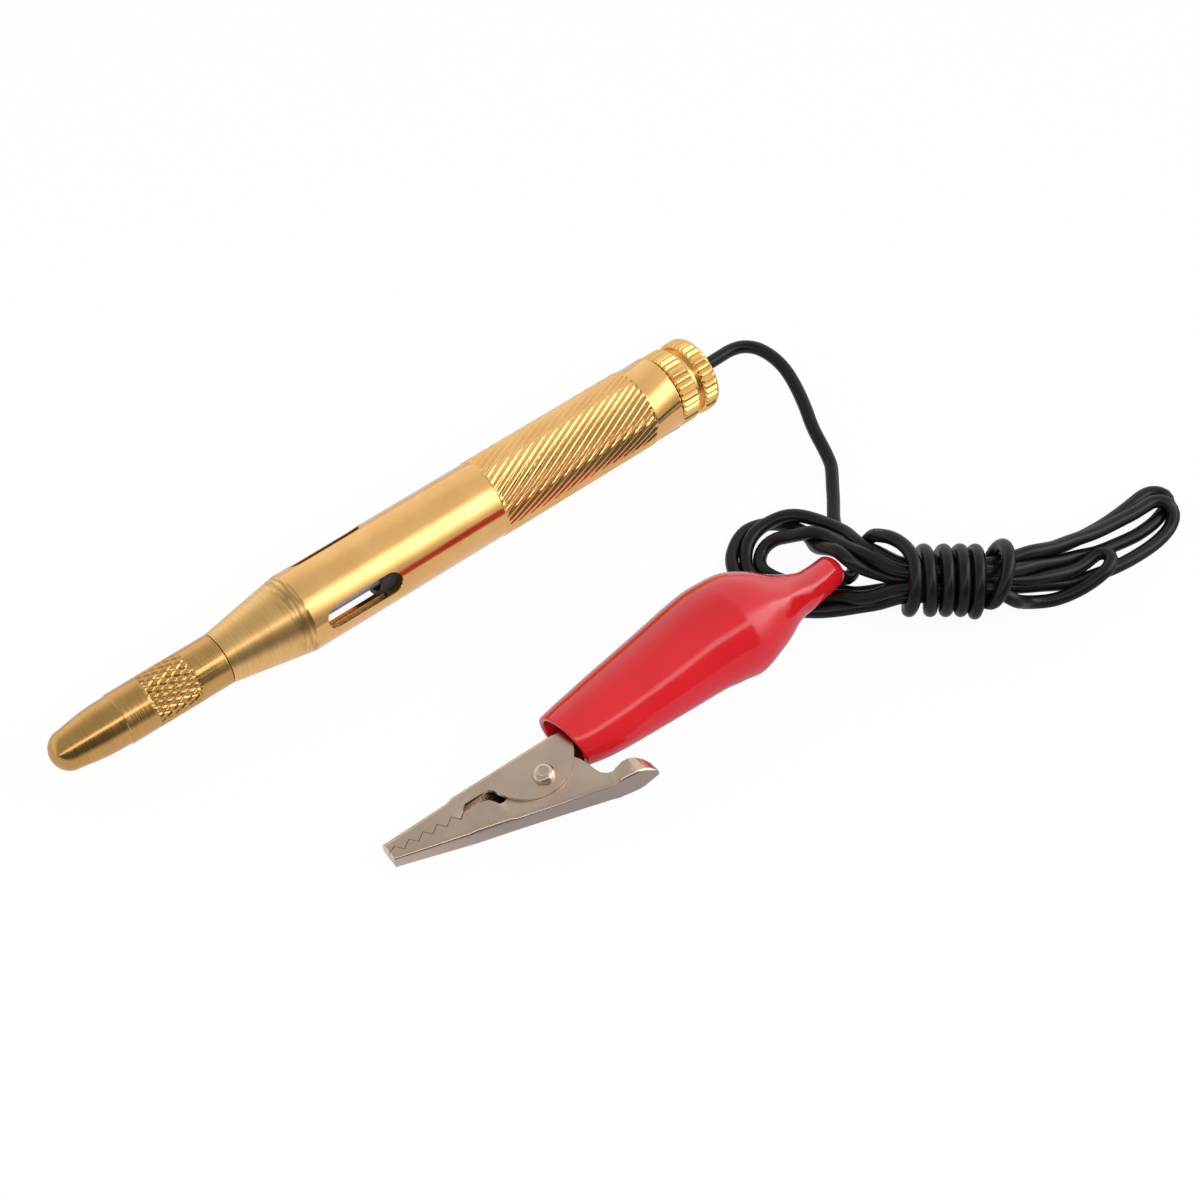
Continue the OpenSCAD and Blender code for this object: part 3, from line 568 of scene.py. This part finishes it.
def boot_vinyl():
    """Dip-moulded red vinyl: glossy, a little deeper in tone in places, faintly wavy."""
    f = Finish("boot_vinyl")
    cloud = f.noise(f.place(), 90, 2.0)
    grain = f.noise(f.place(), 1300, 2.0)
    f.surface(base_color=f.mixed(f.between(cloud, 0.3, 0.7), rgb(0.54, 0.009, 0.014),
                                 rgb(0.62, 0.013, 0.019)),
              roughness=f.between(grain, 0.3, 0.7, 0.09, 0.15), coat_weight=0.3,
              coat_roughness=0.04, specular_ior_level=0.5)
    f.bump(f.math("ADD", cloud, f.math("MULTIPLY", grain, 0.04)), 0.00018)
    return f.made


def lead_vinyl():
    """Black lead sheath: satin, with a faint haze and fine grain."""
    f = Finish("lead_vinyl")
    haze = f.noise(f.place(), 300, 3.0)
    grain = f.noise(f.place(), 2600, 2.0)
    f.surface(base_color=f.mixed(f.between(haze, 0.3, 0.7), rgb(0.004, 0.0036, 0.0034),
                                 rgb(0.007, 0.0063, 0.006)),
              roughness=f.between(grain, 0.3, 0.7, 0.25, 0.32), specular_ior_level=0.3)
    f.bump(grain, 0.00001)
    return f.made


def lamp_glass():
    """Clear drawn glass with faint ripples along the tube."""
    f = Finish("lamp_glass")
    ripple = f.noise(f.place(scale=(0.3, 1, 1)), 700, 2.0)
    f.surface(base_color=rgb(0.82, 0.75, 0.79), roughness=f.between(ripple, 0.3, 0.7, 0.04, 0.12),
              transmission_weight=0.4, ior=1.5)
    f.bump(ripple, 0.00001)
    return f.made


def plain_finish(name, dark, light, scale, low, high, metallic=0.0, height=0.00001):
    """A finish of two close tones and a fine grain, for what lies inside."""
    f = Finish(name)
    cloud = f.noise(f.place(), scale, 3.0)
    f.surface(metallic=metallic, base_color=f.mixed(f.between(cloud, 0.3, 0.7), rgb(*dark),
                                                    rgb(*light)),
              roughness=f.between(cloud, 0.3, 0.7, low, high))
    f.bump(cloud, height)
    return f.made


BRASS = barrel_brass()
CAP_BRASS = turned_brass("cap_brass", (0.70, 0.41, 0.14), (0.54, 0.30, 0.095), 0.18, 0.000005)
END_BRASS = turned_brass("end_brass", (0.92, 0.60, 0.22), (0.80, 0.48, 0.16), 0.18, 0.000003)
NICKEL = nickel_plate()
VINYL_RED = boot_vinyl()
VINYL_BLACK = lead_vinyl()
GLASS = lamp_glass()
STEEL = plain_finish("ground_steel", (0.5, 0.5, 0.51), (0.66, 0.66, 0.67), 900, 0.2, 0.3, 1.0)
LAMP_METAL = plain_finish("lamp_metal", (0.55, 0.54, 0.53), (0.74, 0.73, 0.72), 700, 0.2, 0.35,
                          1.0)
INNER_BRASS = plain_finish("inner_brass", (0.62, 0.45, 0.2), (0.8, 0.62, 0.33), 600, 0.25,
                           0.4, 1.0)
WIRE = plain_finish("drawn_wire", (0.2, 0.2, 0.21), (0.32, 0.32, 0.33), 900, 0.35, 0.5, 1.0)
SLEEVE = plain_finish("sleeve_plastic", (0.02, 0.02, 0.022), (0.04, 0.04, 0.043), 500, 0.45,
                      0.6)
FIBRE = plain_finish("fibre_board", (0.22, 0.08, 0.035), (0.34, 0.14, 0.07), 1200, 0.6, 0.8)
COPPER = plain_finish("copper_strands", (0.6, 0.26, 0.13), (0.85, 0.45, 0.28), 1500, 0.25, 0.4,
                      1.0)


def make_lead():
    """A round tube along the settled path, with the path kept for its measures."""
    path = lead_path()
    mesh = rings_mesh("lead", swept_rings(path, LEAD_R, 16))
    obj = piece(mesh, VINYL_BLACK, "lead", "tester", "lead_run", "lead_hank", "lead_tail")
    return obj, path


lead, LEAD_PATH = make_lead()


def cut_windows(mesh):
    """The barrel's front with three slots cut through its wall. A slot's outline is a straight
    bar with half-round ends, and it flares a little at the outer surface."""
    inner_depth = 3.2
    half = (WINDOW_LENGTH - WINDOW_W) / 2
    middle = np.array([SEAM_X + WINDOW_START + WINDOW_LENGTH / 2, 0, AXIS_Z])
    turn = np.linspace(-np.pi / 2, np.pi / 2, 17)
    rings_of = []
    for degrees in WINDOW_TURNS:
        a = math.radians(degrees)
        out = np.array([0, math.sin(a), -math.cos(a)])
        across = np.array([0, math.cos(a), math.sin(a)])
        rings = []
        for grow, rise in ((0, None), (0, -0.12), (0.1, 0.04), (0.12, 2.5)):
            r = WINDOW_W / 2 + grow
            x = np.r_[half + r * np.cos(turn), -half - r * np.cos(turn)]
            w = np.r_[r * np.sin(turn), -r * np.sin(turn)]
            depth = (np.full(len(x), inner_depth) if rise is None
                     else np.sqrt(BARREL_R ** 2 - w ** 2) + rise)
            rings.append(middle + np.stack([x, 0 * x, 0 * x], -1) + w[:, None] * across
                         + depth[:, None] * out)
        rings_of.append(np.array(rings))
    rows, columns = rings_of[0].shape[:2]
    faces, caps = [], []
    for k in range(3):
        base = k * rows * columns
        faces.append(grid_faces(rows, columns) + base)
        caps += [np.arange(columns) + base, np.arange(columns) + base + (rows - 1) * columns]
    cutter = bpy.data.objects.new("cutter", mesh_of("cutter", np.array(rings_of),
                                                    np.vstack(faces), caps))
    body = bpy.data.objects.new("front", mesh)
    for obj in (cutter, body):
        bpy.context.scene.collection.objects.link(obj)
    cut = body.modifiers.new("windows", "BOOLEAN")
    cut.operation, cut.solver, cut.object = "DIFFERENCE", "EXACT", cutter
    bpy.context.view_layer.update()
    graph = bpy.context.evaluated_depsgraph_get()
    result = bpy.data.meshes.new_from_object(body.evaluated_get(graph))
    for obj in (cutter, body):
        bpy.data.objects.remove(obj)
    return result


def off_middle(lines, angle, steps):
    """How far a place is from the middle of its step, from 0 to half a step, where a number of
    lines goes round the axis and is shifted by some steps."""
    return np.abs((lines * angle / (2 * np.pi) + steps) % 1 - 0.5)


def knurled_grip(station, radius, angle):
    """The grip's lines: grooves that climb one line's step in each pitch, crossed by faint ones
    of the other hand. A groove is a cut valley with a flat crest, and both fade at the ends:
    radius - fade * depth * max(0, 1 - distance / half width)."""
    fade = np.clip(np.minimum(station - GRIP_START, GRIP_END - station) / 0.35, 0, 1)
    fade = fade * (radius > BARREL_R)
    climb = (station - GRIP_START) / GRIP_PITCH
    main, cross = off_middle(GRIP_LINES, angle, -climb), off_middle(GRIP_LINES, angle, climb)
    groove = (GRIP_DEPTH * np.clip(1 - main / GRIP_GROOVE, 0, 1)
              + CROSS_DEPTH * np.clip(1 - cross / CROSS_GROOVE, 0, 1))
    return radius - fade * groove


def make_barrel():
    """Two turned lengths in one mesh: the front with its windows, and the knurled rear."""
    join = GRIP_START - 0.3
    front = softened([[-6, 1.1], [-6, 2.1], [-5.6, 2.5], [0, 2.5], [0, TIP_CAP_R],
                      [NOSE_LENGTH, BARREL_R], [join, BARREL_R]], 0.12)
    front = np.vstack([front, [[join, BORE_R], [11, BORE_R], [11, 1.1]]])
    windowed = cut_windows(rings_mesh("front", turned_rings(front, 192), True))
    grip_r = BARREL_R + GRIP_RISE
    rows = np.r_[np.arange(GRIP_START, GRIP_END, 0.22), GRIP_END]
    rear = np.vstack([[[join, BARREL_R], [GRIP_START - 0.1, BARREL_R]],
                      np.stack([rows, np.full(len(rows), grip_r)], -1),
                      [[GRIP_END + 0.12, BARREL_R], [GRIP_END + 0.4, BARREL_R],
                       [BARREL_LENGTH - 0.3, BARREL_R], [BARREL_LENGTH - 0.15, BARREL_R],
                       [BARREL_LENGTH, BARREL_R - 0.12], [BARREL_LENGTH, BORE_R],
                       [join, BORE_R]]])
    turn = 2 * np.pi / (GRIP_LINES * GRIP_PITCH)
    knurled = rings_mesh("rear", turned_rings(rear, 480, knurled_grip, turn), True)
    both = bmesh.new()
    both.from_mesh(windowed)
    both.from_mesh(knurled)
    mesh = bpy.data.meshes.new("barrel_body")
    both.to_mesh(mesh)
    both.free()
    return piece(mesh, BRASS, "brass", "tester", "barrel")


make_barrel()


def knurled_band(station, radius, angle):
    """The tip cap's band: two sets of crossing grooves, which leave diamonds."""
    fade = np.clip(np.minimum(station - BAND_START, BAND_END - station) / 0.25, 0, 1)
    fade = fade * (radius > TIP_CAP_R - 0.02)
    climb = station / BAND_PITCH
    grooves = [np.clip(1 - off_middle(BAND_LINES, angle, steps) / BAND_GROOVE, 0, 1)
               for steps in (-climb, climb)]
    return radius - fade * BAND_DEPTH * np.maximum(*grooves)


def make_tip_cap():
    """The cap's outside from its pole to its mouth, then its inside back to the needle's end."""
    dome_h = TIP_DOME_R * 0.94
    dome_at = -TIP_CAP_LENGTH + dome_h
    a = np.linspace(np.pi / 2, 0, 17)
    dome = np.stack([dome_at - dome_h * np.sin(a), TIP_DOME_R * np.cos(a)], -1)
    at = np.linspace(dome_at, -TIP_STRAIGHT - 0.12, 13)
    taper = np.stack([at, eased([dome_at, (dome_at - TIP_STRAIGHT) / 2, -TIP_STRAIGHT - 0.12],
                                [TIP_DOME_R, 3.54, TIP_CAP_R - 0.12], at)], -1)
    band = np.arange(BAND_START - 0.05, BAND_END + 0.05, 0.1)
    straight = softened([[-TIP_STRAIGHT - 0.12, TIP_CAP_R - 0.12], [-TIP_STRAIGHT, TIP_CAP_R],
                         [-12.2, TIP_CAP_R]], 0.06)[1:]
    mouth = softened([[-4.6, TIP_CAP_R], [-0.1, TIP_CAP_R], [-0.1, 2.55], [-6.5, 2.55],
                      [-6.5, 1.5], [-20, 1.5], [-23.2, 0.6], [-23.2, 0]], 0.1)
    profile = np.vstack([dome, taper[1:], straight,
                         np.stack([band, np.full(len(band), TIP_CAP_R)], -1), mouth])
    mesh = pole_mesh("tip_cap_shell", turned_rings(profile, 288, knurled_band))
    return piece(mesh, CAP_BRASS, "cap_brass", "tip_cap", "tip_cap")


def serrated(station, radius, angle):
    """The end cap's serrations: sharp valleys between narrow flat crests, cut into whatever
    stands above the valley's depth."""
    wave = off_middle(SERRATIONS, angle, 0) * 2
    return np.minimum(radius, END_CAP_R + 0.08 - 0.38 * wave)


def make_end_cap():
    """The end cap: spigot, dark neck, wide ring, groove, and a narrower ring that rounds off to
    the lead's hole."""
    r, neck = END_CAP_R, END_CAP_R - 1
    wide, second, end = BARREL_LENGTH + 0.3, BARREL_LENGTH + 4.5, BARREL_LENGTH + END_CAP_LENGTH
    profile = [[72.2, 1.1], [72.2, 4.55], [BARREL_LENGTH, 4.55], [BARREL_LENGTH, neck],
               [wide, neck], [wide, r - 0.3], [wide + 0.3, r], [wide + 2.8, r],
               [wide + 3.1, r - 0.3], [wide + 3.1, neck], [second, neck], [second, r - 0.35],
               [second + 0.35, r], [end - 0.9, r], [end - 0.3, r - 0.35], [end, r - 0.95],
               [end, 1.35], [end - 0.25, 1.1]]
    profile = refined(softened(profile, 0.1), 0.6)
    rings = turned_rings(profile, SERRATIONS * 10, serrated)
    mesh = rings_mesh("end_cap_rings", rings, True)
    return piece(mesh, END_BRASS, "brass", "end_cap", "end_cap")


make_tip_cap()
make_end_cap()


# Where the lower jaw's tail presses the boot out from inside, at the corner of the shoulder and
# beside the mouth: station, turn in degrees, height, length, and width in degrees
BOOT_BULGES = ((29.3, -38, 0.32, 2.0, 24), (6.5, 12, 0.3, 2.8, 13))


def boot_bulges(l, turn):
    """How far the boot's skin stands out: the sum of height * exp(-(d / length)^2 - (a /
    width)^2), with d the distance along the boot and a the turn away from each bulge."""
    out = 0
    for at, to, height, length, width in BOOT_BULGES:
        away = (np.degrees(turn) - to + 180) % 360 - 180
        out = out + height * np.exp(-((l[:, None] - at) / length) ** 2 - (away / width) ** 2)
    return out


def make_boot():
    """The boot's skin: an oval section carried along its bent middle line, out to the sleeve,
    round the rim and back inside to the mouth, where the rims are half round. The mouth is cut
    on a slant."""
    half_w, half_h = BOOT_W / 2, BOOT_H / 2
    rows = np.array([[0, 4.6, 4], [2, 5.05, 4.2], [6, 5.65, 4.7], [12, 6.25, 5.3], [18, 6.8, 5.95],
                     [23, half_w * 0.96, half_h * 0.93], [26, half_w, half_h * 0.985],
                     [28.5, half_w, half_h], [30.5, half_w * 0.98, half_h * 0.97],
                     [32.5, half_w * 0.89, half_h * 0.88], [34.5, 5.8, 5.2], [36.5, 4.55, 4.2],
                     [38.5, 3.6, 3.45], [41, 2.95, 2.9], [BOOT_LENGTH, 2.4, 2.4]])
    sides = 80
    hole, sleeve_start, mouth_lean = LEAD_R + 0.1, 38.5, -0.17

    def ring_at(l, inward, push):
        """Rings at stations l, drawn in by a part of the wall and pushed along the axis."""
        centre = boot_axis(l)
        tangent = boot_axis(l + 0.05) - boot_axis(l - 0.05)
        tangent /= np.linalg.norm(tangent, axis=-1, keepdims=True)
        side = np.cross(tangent, [0, 0, 1.0])
        side /= np.linalg.norm(side, axis=-1, keepdims=True)
        up = np.cross(side, tangent)
        sleeve = np.clip((l - sleeve_start) / 2.5, 0, 1)
        half = []
        for column in (1, 2):
            outer = eased(rows[:, 0], rows[:, column], l)
            inner = (outer - BOOT_WALL) * (1 - sleeve) + hole * sleeve
            half.append(outer + (inner - outer) * inward)
        turn = 2 * np.pi * np.arange(sides) / sides
        middle = centre[:, None] + (push[:, None] * tangent)[:, None]
        out = ((half[0][:, None] * np.cos(turn))[..., None] * side[:, None]
               + (half[1][:, None] * np.sin(turn))[..., None] * up[:, None])
        p = middle + out * (1 + boot_bulges(l, turn) / half_w)[..., None]
        lean = mouth_lean * np.clip(1 - l / 4, 0, 1)
        p[..., 0] += lean[:, None] * (p[..., 1] - BOOT_Y)
        return p

    l = np.r_[np.linspace(0, 36, 60), np.linspace(36.4, BOOT_LENGTH, 30)]
    bead = np.linspace(0, np.pi, 7)[1:-1]
    share, bulge = (1 - np.cos(bead)) / 2, np.sin(bead)
    rings = np.vstack([
        ring_at(l, 0 * l, 0 * l),
        ring_at(0 * bead + BOOT_LENGTH, share, 0.25 * bulge),
        ring_at(l[::-1], 0 * l + 1, 0 * l),
        ring_at(0 * bead, share[::-1], -0.25 * bulge)])
    mesh = rings_mesh("boot_skin", laid_as_clip(rings), True)
    return piece(mesh, VINYL_RED, "boot", "tester", "clip_boot", crisp=60)


boot = make_boot()


# How far from their edges the rounding of a jaw's folds and creases starts
FOLD_R, CREASE_R = 0.6, 0.22


def edges_to_round(work, back):
    """A jaw's sharp edges to be turned round: the folds along its back, between a plate and the
    back's strip, and the slight creases across its plates."""
    turn = TO_CLIP.to_3x3()
    folds, creases = [], []
    for edge in work.edges:
        if len(edge.link_faces) != 2:
            continue
        angle = edge.calc_face_angle()
        a, b = (TO_CLIP @ v.co / MM for v in edge.verts)
        facing = [abs((turn @ face.normal).z) for face in edge.link_faces]
        length = (b - a).length
        on_back = all(abs(p.y - back(p.x)) < 0.05 for p in (a, b))
        if on_back and angle > 0.6 and max(facing) > 0.7 and length > 0.5:
            folds.append(edge)
        elif 0.1 < angle < 0.7 and min(facing) > 0.7 and length > 0.6:
            creases.append(edge)
    return folds, creases


def turned_round(work, edges, radius, segments, clamped):
    """The faces of the roundings made along the edges."""
    made = bmesh.ops.bevel(work, geom=[edge for edge in edges if edge.is_valid],
                           offset=radius * MM, segments=segments, profile=0.5,
                           affect="EDGES", clamp_overlap=clamped)
    return set(made["faces"])


def shaded_by_area(name, mesh):
    """The mesh with its normals weighted by the area of the faces, so that the large plates
    look flat beside their roundings."""
    holder = bpy.data.objects.new(name, mesh)
    bpy.context.scene.collection.objects.link(holder)
    weighted = holder.modifiers.new("weighted", "WEIGHTED_NORMAL")
    weighted.keep_sharp, weighted.weight = True, 100
    bpy.context.view_layer.update()
    made = bpy.data.meshes.new_from_object(
        holder.evaluated_get(bpy.context.evaluated_depsgraph_get()))
    bpy.data.objects.remove(holder)
    bpy.data.meshes.remove(mesh)
    made.name = name
    return made


def make_jaw(node, name, body, back, lean=None):
    """A jaw from its solid: triangles merged to whole faces, then the folds and the creases
    turned round. back gives the back's height over the clip's length, and lean moves a plate
    across by its place."""
    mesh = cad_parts[node].data.copy()
    mesh.name = name
    work = bmesh.new()
    work.from_mesh(mesh)
    bmesh.ops.remove_doubles(work, verts=work.verts, dist=2e-6)
    bmesh.ops.dissolve_limit(work, angle_limit=math.radians(2.5), verts=work.verts,
                             edges=work.edges)
    if lean:
        from_clip = TO_CLIP.inverted()
        for v in work.verts:
            at = TO_CLIP @ v.co / MM
            at.z += math.copysign(lean(at.x, at.y), at.z)
            v.co = from_clip @ (at * MM)
        work.normal_update()
    folds, creases = edges_to_round(work, back)
    rounds = turned_round(work, folds, FOLD_R, 8, False)
    rounds |= turned_round(work, creases, CREASE_R, 3, True)
    rounds = {face for face in rounds if face.is_valid}
    work.normal_update()
    for edge in work.edges:
        on_round = any(face in rounds for face in edge.link_faces)
        limit = 0.55 if on_round else 0.06
        edge.smooth = len(edge.link_faces) == 2 and edge.calc_face_angle() < limit
    work.to_mesh(mesh)
    work.free()
    mesh.polygons.foreach_set("use_smooth", np.ones(len(mesh.polygons), bool))
    return piece(shaded_by_area(name, mesh), NICKEL, "nickel", body, node, crisp=None)


def upper_back(x):
    """The height of the upper jaw's back at a station of the clip."""
    return 4.7 - 0.03 * x


def lower_back(x):
    """The height of the lower jaw's back: three straight lengths that meet at a slight knee
    behind the teeth and at the neck of the thumb tab."""
    knee_x, neck_x = -12.4, 6.6
    if x > neck_x:
        return -7.03 - 0.2 * (x - neck_x)
    return -1.01 + (x - knee_x) * (-0.353 if x < knee_x else -0.317)


def recess_lean(x, y):
    """How far the lower jaw's plate moves out between the crimps: its flat recess becomes a
    face that leaves the fold at full width and slopes in towards the mouth."""
    crimp_front, crimp_rear = -11.7, -7.1
    if not crimp_front < x < crimp_rear:
        return 0
    return 0.3 - 0.2 * (y - lower_back(x))


def make_rivet():
    """The rivet: a shank with two heads, each a low dome with a flat middle and a rim."""
    top, r = CLIP_W / 2, RIVET_R
    head = softened([[1.1, top - 0.3], [1.1, top], [r * 0.96, top], [r, top + 0.22],
                     [r * 0.93, top + 0.52], [r * 0.76, top + 0.8], [r * 0.5, top + 0.98],
                     [r * 0.42, top + 0.95], [0, top + 0.93]], 0.1)
    profile = np.vstack([head[::-1] * [1, -1], head])[::-1]
    turn = 2 * np.pi * np.arange(64) / 64
    rings = np.stack([profile[:, :1] * np.cos(turn), profile[:, :1] * np.sin(turn),
                      np.broadcast_to(profile[:, 1:], (len(profile), 64))], -1)
    mesh = pole_mesh("rivet_heads", laid_as_clip(rings))
    return piece(mesh, NICKEL, "nickel", "tester", "clip_rivet")


def make_spring():
    """The torsion spring as its solid has it, on no body, with its place baked into its points."""
    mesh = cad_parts["clip_spring"].data.copy()
    mesh.name = "clip_torsion_spring"
    made = piece(mesh, STEEL, "steel", None, "clip_spring", crisp=None)
    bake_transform(made)
    return made


upper_jaw = make_jaw("clip_upper_jaw", "upper_jaw_sheet", "tester", upper_back)
lower_jaw = make_jaw("clip_lower_jaw", "lower_jaw_sheet", "lower_jaw", lower_back, recess_lean)
rivet = make_rivet()
spring = make_spring()


# The solids that show as they are
NODE_FINISHES = {
    "needle": STEEL, "lamp_front_cap": LAMP_METAL, "lamp_glass": GLASS, "lamp_filament": WIRE,
    "lamp_rear_cap": LAMP_METAL, "insulating_sleeve": SLEEVE, "contact_cup": INNER_BRASS,
    "contact_spring": LAMP_METAL, "lead_terminal": INNER_BRASS, "insulating_washer": FIBRE,
    "lead_core": COPPER}
for name, finish in NODE_FINISHES.items():
    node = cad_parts[name]
    node.data.materials.clear()
    node.data.materials.append(finish)


def make_floor():
    """A pale floor: near white to the camera, with a faint part of the shadow, and to mirror
    rays a painted reflection, paler round the tester and darker and bluer in front of it."""
    half_side, white_share = 1.2, 0.93
    front_y, near_y = -0.047, -0.036
    mesh = bpy.data.meshes.new("floor")
    mesh.from_pydata([(x * half_side, y * half_side, 0)
                      for x, y in ((-1, -1), (1, -1), (1, 1), (-1, 1))], [], [(0, 1, 2, 3)])
    f = Finish("floor_paper")
    grain = f.noise(f.place(), 40, 2.0)
    f.surface(base_color=f.mixed(grain, rgb(0.86, 0.86, 0.86), rgb(0.88, 0.88, 0.88)),
              roughness=0.9)
    glow = f.node("Emission", {"Color": rgb(1, 1, 1), "Strength": 1.0})
    ray = f.node("LightPath").outputs
    seen = f.math("MAXIMUM", ray["Is Camera Ray"], ray["Is Transmission Ray"])
    blend = f.node("MixShader", {0: f.math("MULTIPLY", seen, white_share),
                                 1: f.shader.outputs["BSDF"], 2: glow.outputs["Emission"]})
    y = f.node("SeparateXYZ", {"Vector": f.place()}).outputs["Y"]
    # Painted reflection and shade: what mirror rays see of the floor is greyer than white, darker
    # and bluer in front of the tester and paler near it
    painted_reflection = f.mixed(f.between(y, front_y, near_y), rgb(0.44, 0.44, 0.52), rgb(0.80, 0.77, 0.80))
    mirrored = f.node("Emission", {"Color": painted_reflection, "Strength": 1.0})
    both = f.node("MixShader", {0: ray["Is Glossy Ray"], 1: blend.outputs[0],
                                2: mirrored.outputs["Emission"]})
    f.tree.links.new(both.outputs[0], f.tree.nodes["Material Output"].inputs["Surface"])
    mesh.materials.append(f.made)
    floor = bpy.data.objects.new("floor", mesh)
    bpy.context.scene.collection.objects.link(floor)


# How bright the surroundings are by angle, from the horizon on the camera's side (0 degrees)
# over the top (90) to the far one (180): on the left a dark front with a thin bright strip, and
# on the right a broad window. One passes into the other between two values of a direction's X
LEFT_BANDS = [(-180, 1.1), (-12, 0.7), (-4, 0.12), (41, 0.14), (46, 0.3), (49, 2.3), (55, 2.3),
              (60, 0.48), (112, 0.5), (124, 0.56), (140, 0.75), (152, 1.0), (180, 1.1)]
RIGHT_BANDS = [(-180, 1.1), (-12, 0.75), (-3, 0.65), (8, 0.6), (18, 0.9), (27, 1.5), (38, 2.7),
               (60, 2.9), (68, 1.7), (76, 0.95), (92, 0.85), (118, 0.85), (140, 1.0), (180, 1.1)]
LEFT_UP_TO, RIGHT_FROM = 0.245, 0.305
BRIGHTEST = 3.0


def make_world():
    """Soft surroundings by direction, white to the camera: the angle atan2(z, -y) picks a
    brightness from the bands of the left and of the right, and x mixes the two."""
    world = bpy.data.worlds.new("studio")
    world.use_nodes = True
    tree = world.node_tree

    def worked(kind, *values, **settings):
        made = tree.nodes.new("ShaderNode" + kind)
        for key, value in settings.items():
            setattr(made, key, value)
        for socket, value in zip(made.inputs, values):
            if isinstance(value, bpy.types.NodeSocket):
                tree.links.new(value, socket)
            else:
                socket.default_value = value
        return made.outputs

    x, y, z = worked("SeparateXYZ", worked("TexCoord")["Generated"])
    front = worked("Math", y, -1.0, operation="MULTIPLY")[0]
    angle = worked("Math", z, front, operation="ARCTAN2")[0]
    share = worked("MapRange", angle, -math.pi, math.pi)[0]
    right = worked("MapRange", x, LEFT_UP_TO, RIGHT_FROM)[0]
    sides = []
    for bands in (LEFT_BANDS, RIGHT_BANDS):
        shade = worked("ValToRGB", share)[0]
        stops = shade.node.color_ramp.elements
        while len(stops) < len(bands):
            stops.new(0.5)
        for stop, (degrees, value) in zip(stops, bands):
            stop.position = (degrees + 180) / 360
            stop.color = (value / BRIGHTEST,) * 3 + (1,)
        sides.append(shade)
    soft = worked("Background", worked("MixRGB", right, *sides)[0], BRIGHTEST)[0]
    white = worked("Background", (1, 1, 1, 1), 1.0)[0]
    seen = worked("LightPath")["Is Camera Ray"]
    blend = worked("MixShader", seen, soft, white)[0]
    tree.links.new(blend, tree.nodes["World Output"].inputs["Surface"])
    bpy.context.scene.world = world


def add_lamp(name, at, towards, size, energy):
    """A square soft lamp that faces the object, and that mirror rays don't see."""
    data = bpy.data.lights.new(name, "AREA")
    data.shape, data.size, data.energy = "SQUARE", size, energy
    lamp = bpy.data.objects.new(name, data)
    bpy.context.scene.collection.objects.link(lamp)
    lamp.location = at
    lamp.visible_glossy = False
    lamp.rotation_euler = (Vector(towards) - Vector(at)).to_track_quat("-Z", "Y").to_euler()


make_floor()
make_world()
add_lamp("key", at=(-0.25, -0.45, 0.6), towards=(0.02, -0.03, 0), size=0.35, energy=2.6)

bpy.context.scene.view_settings.view_transform = "Standard"
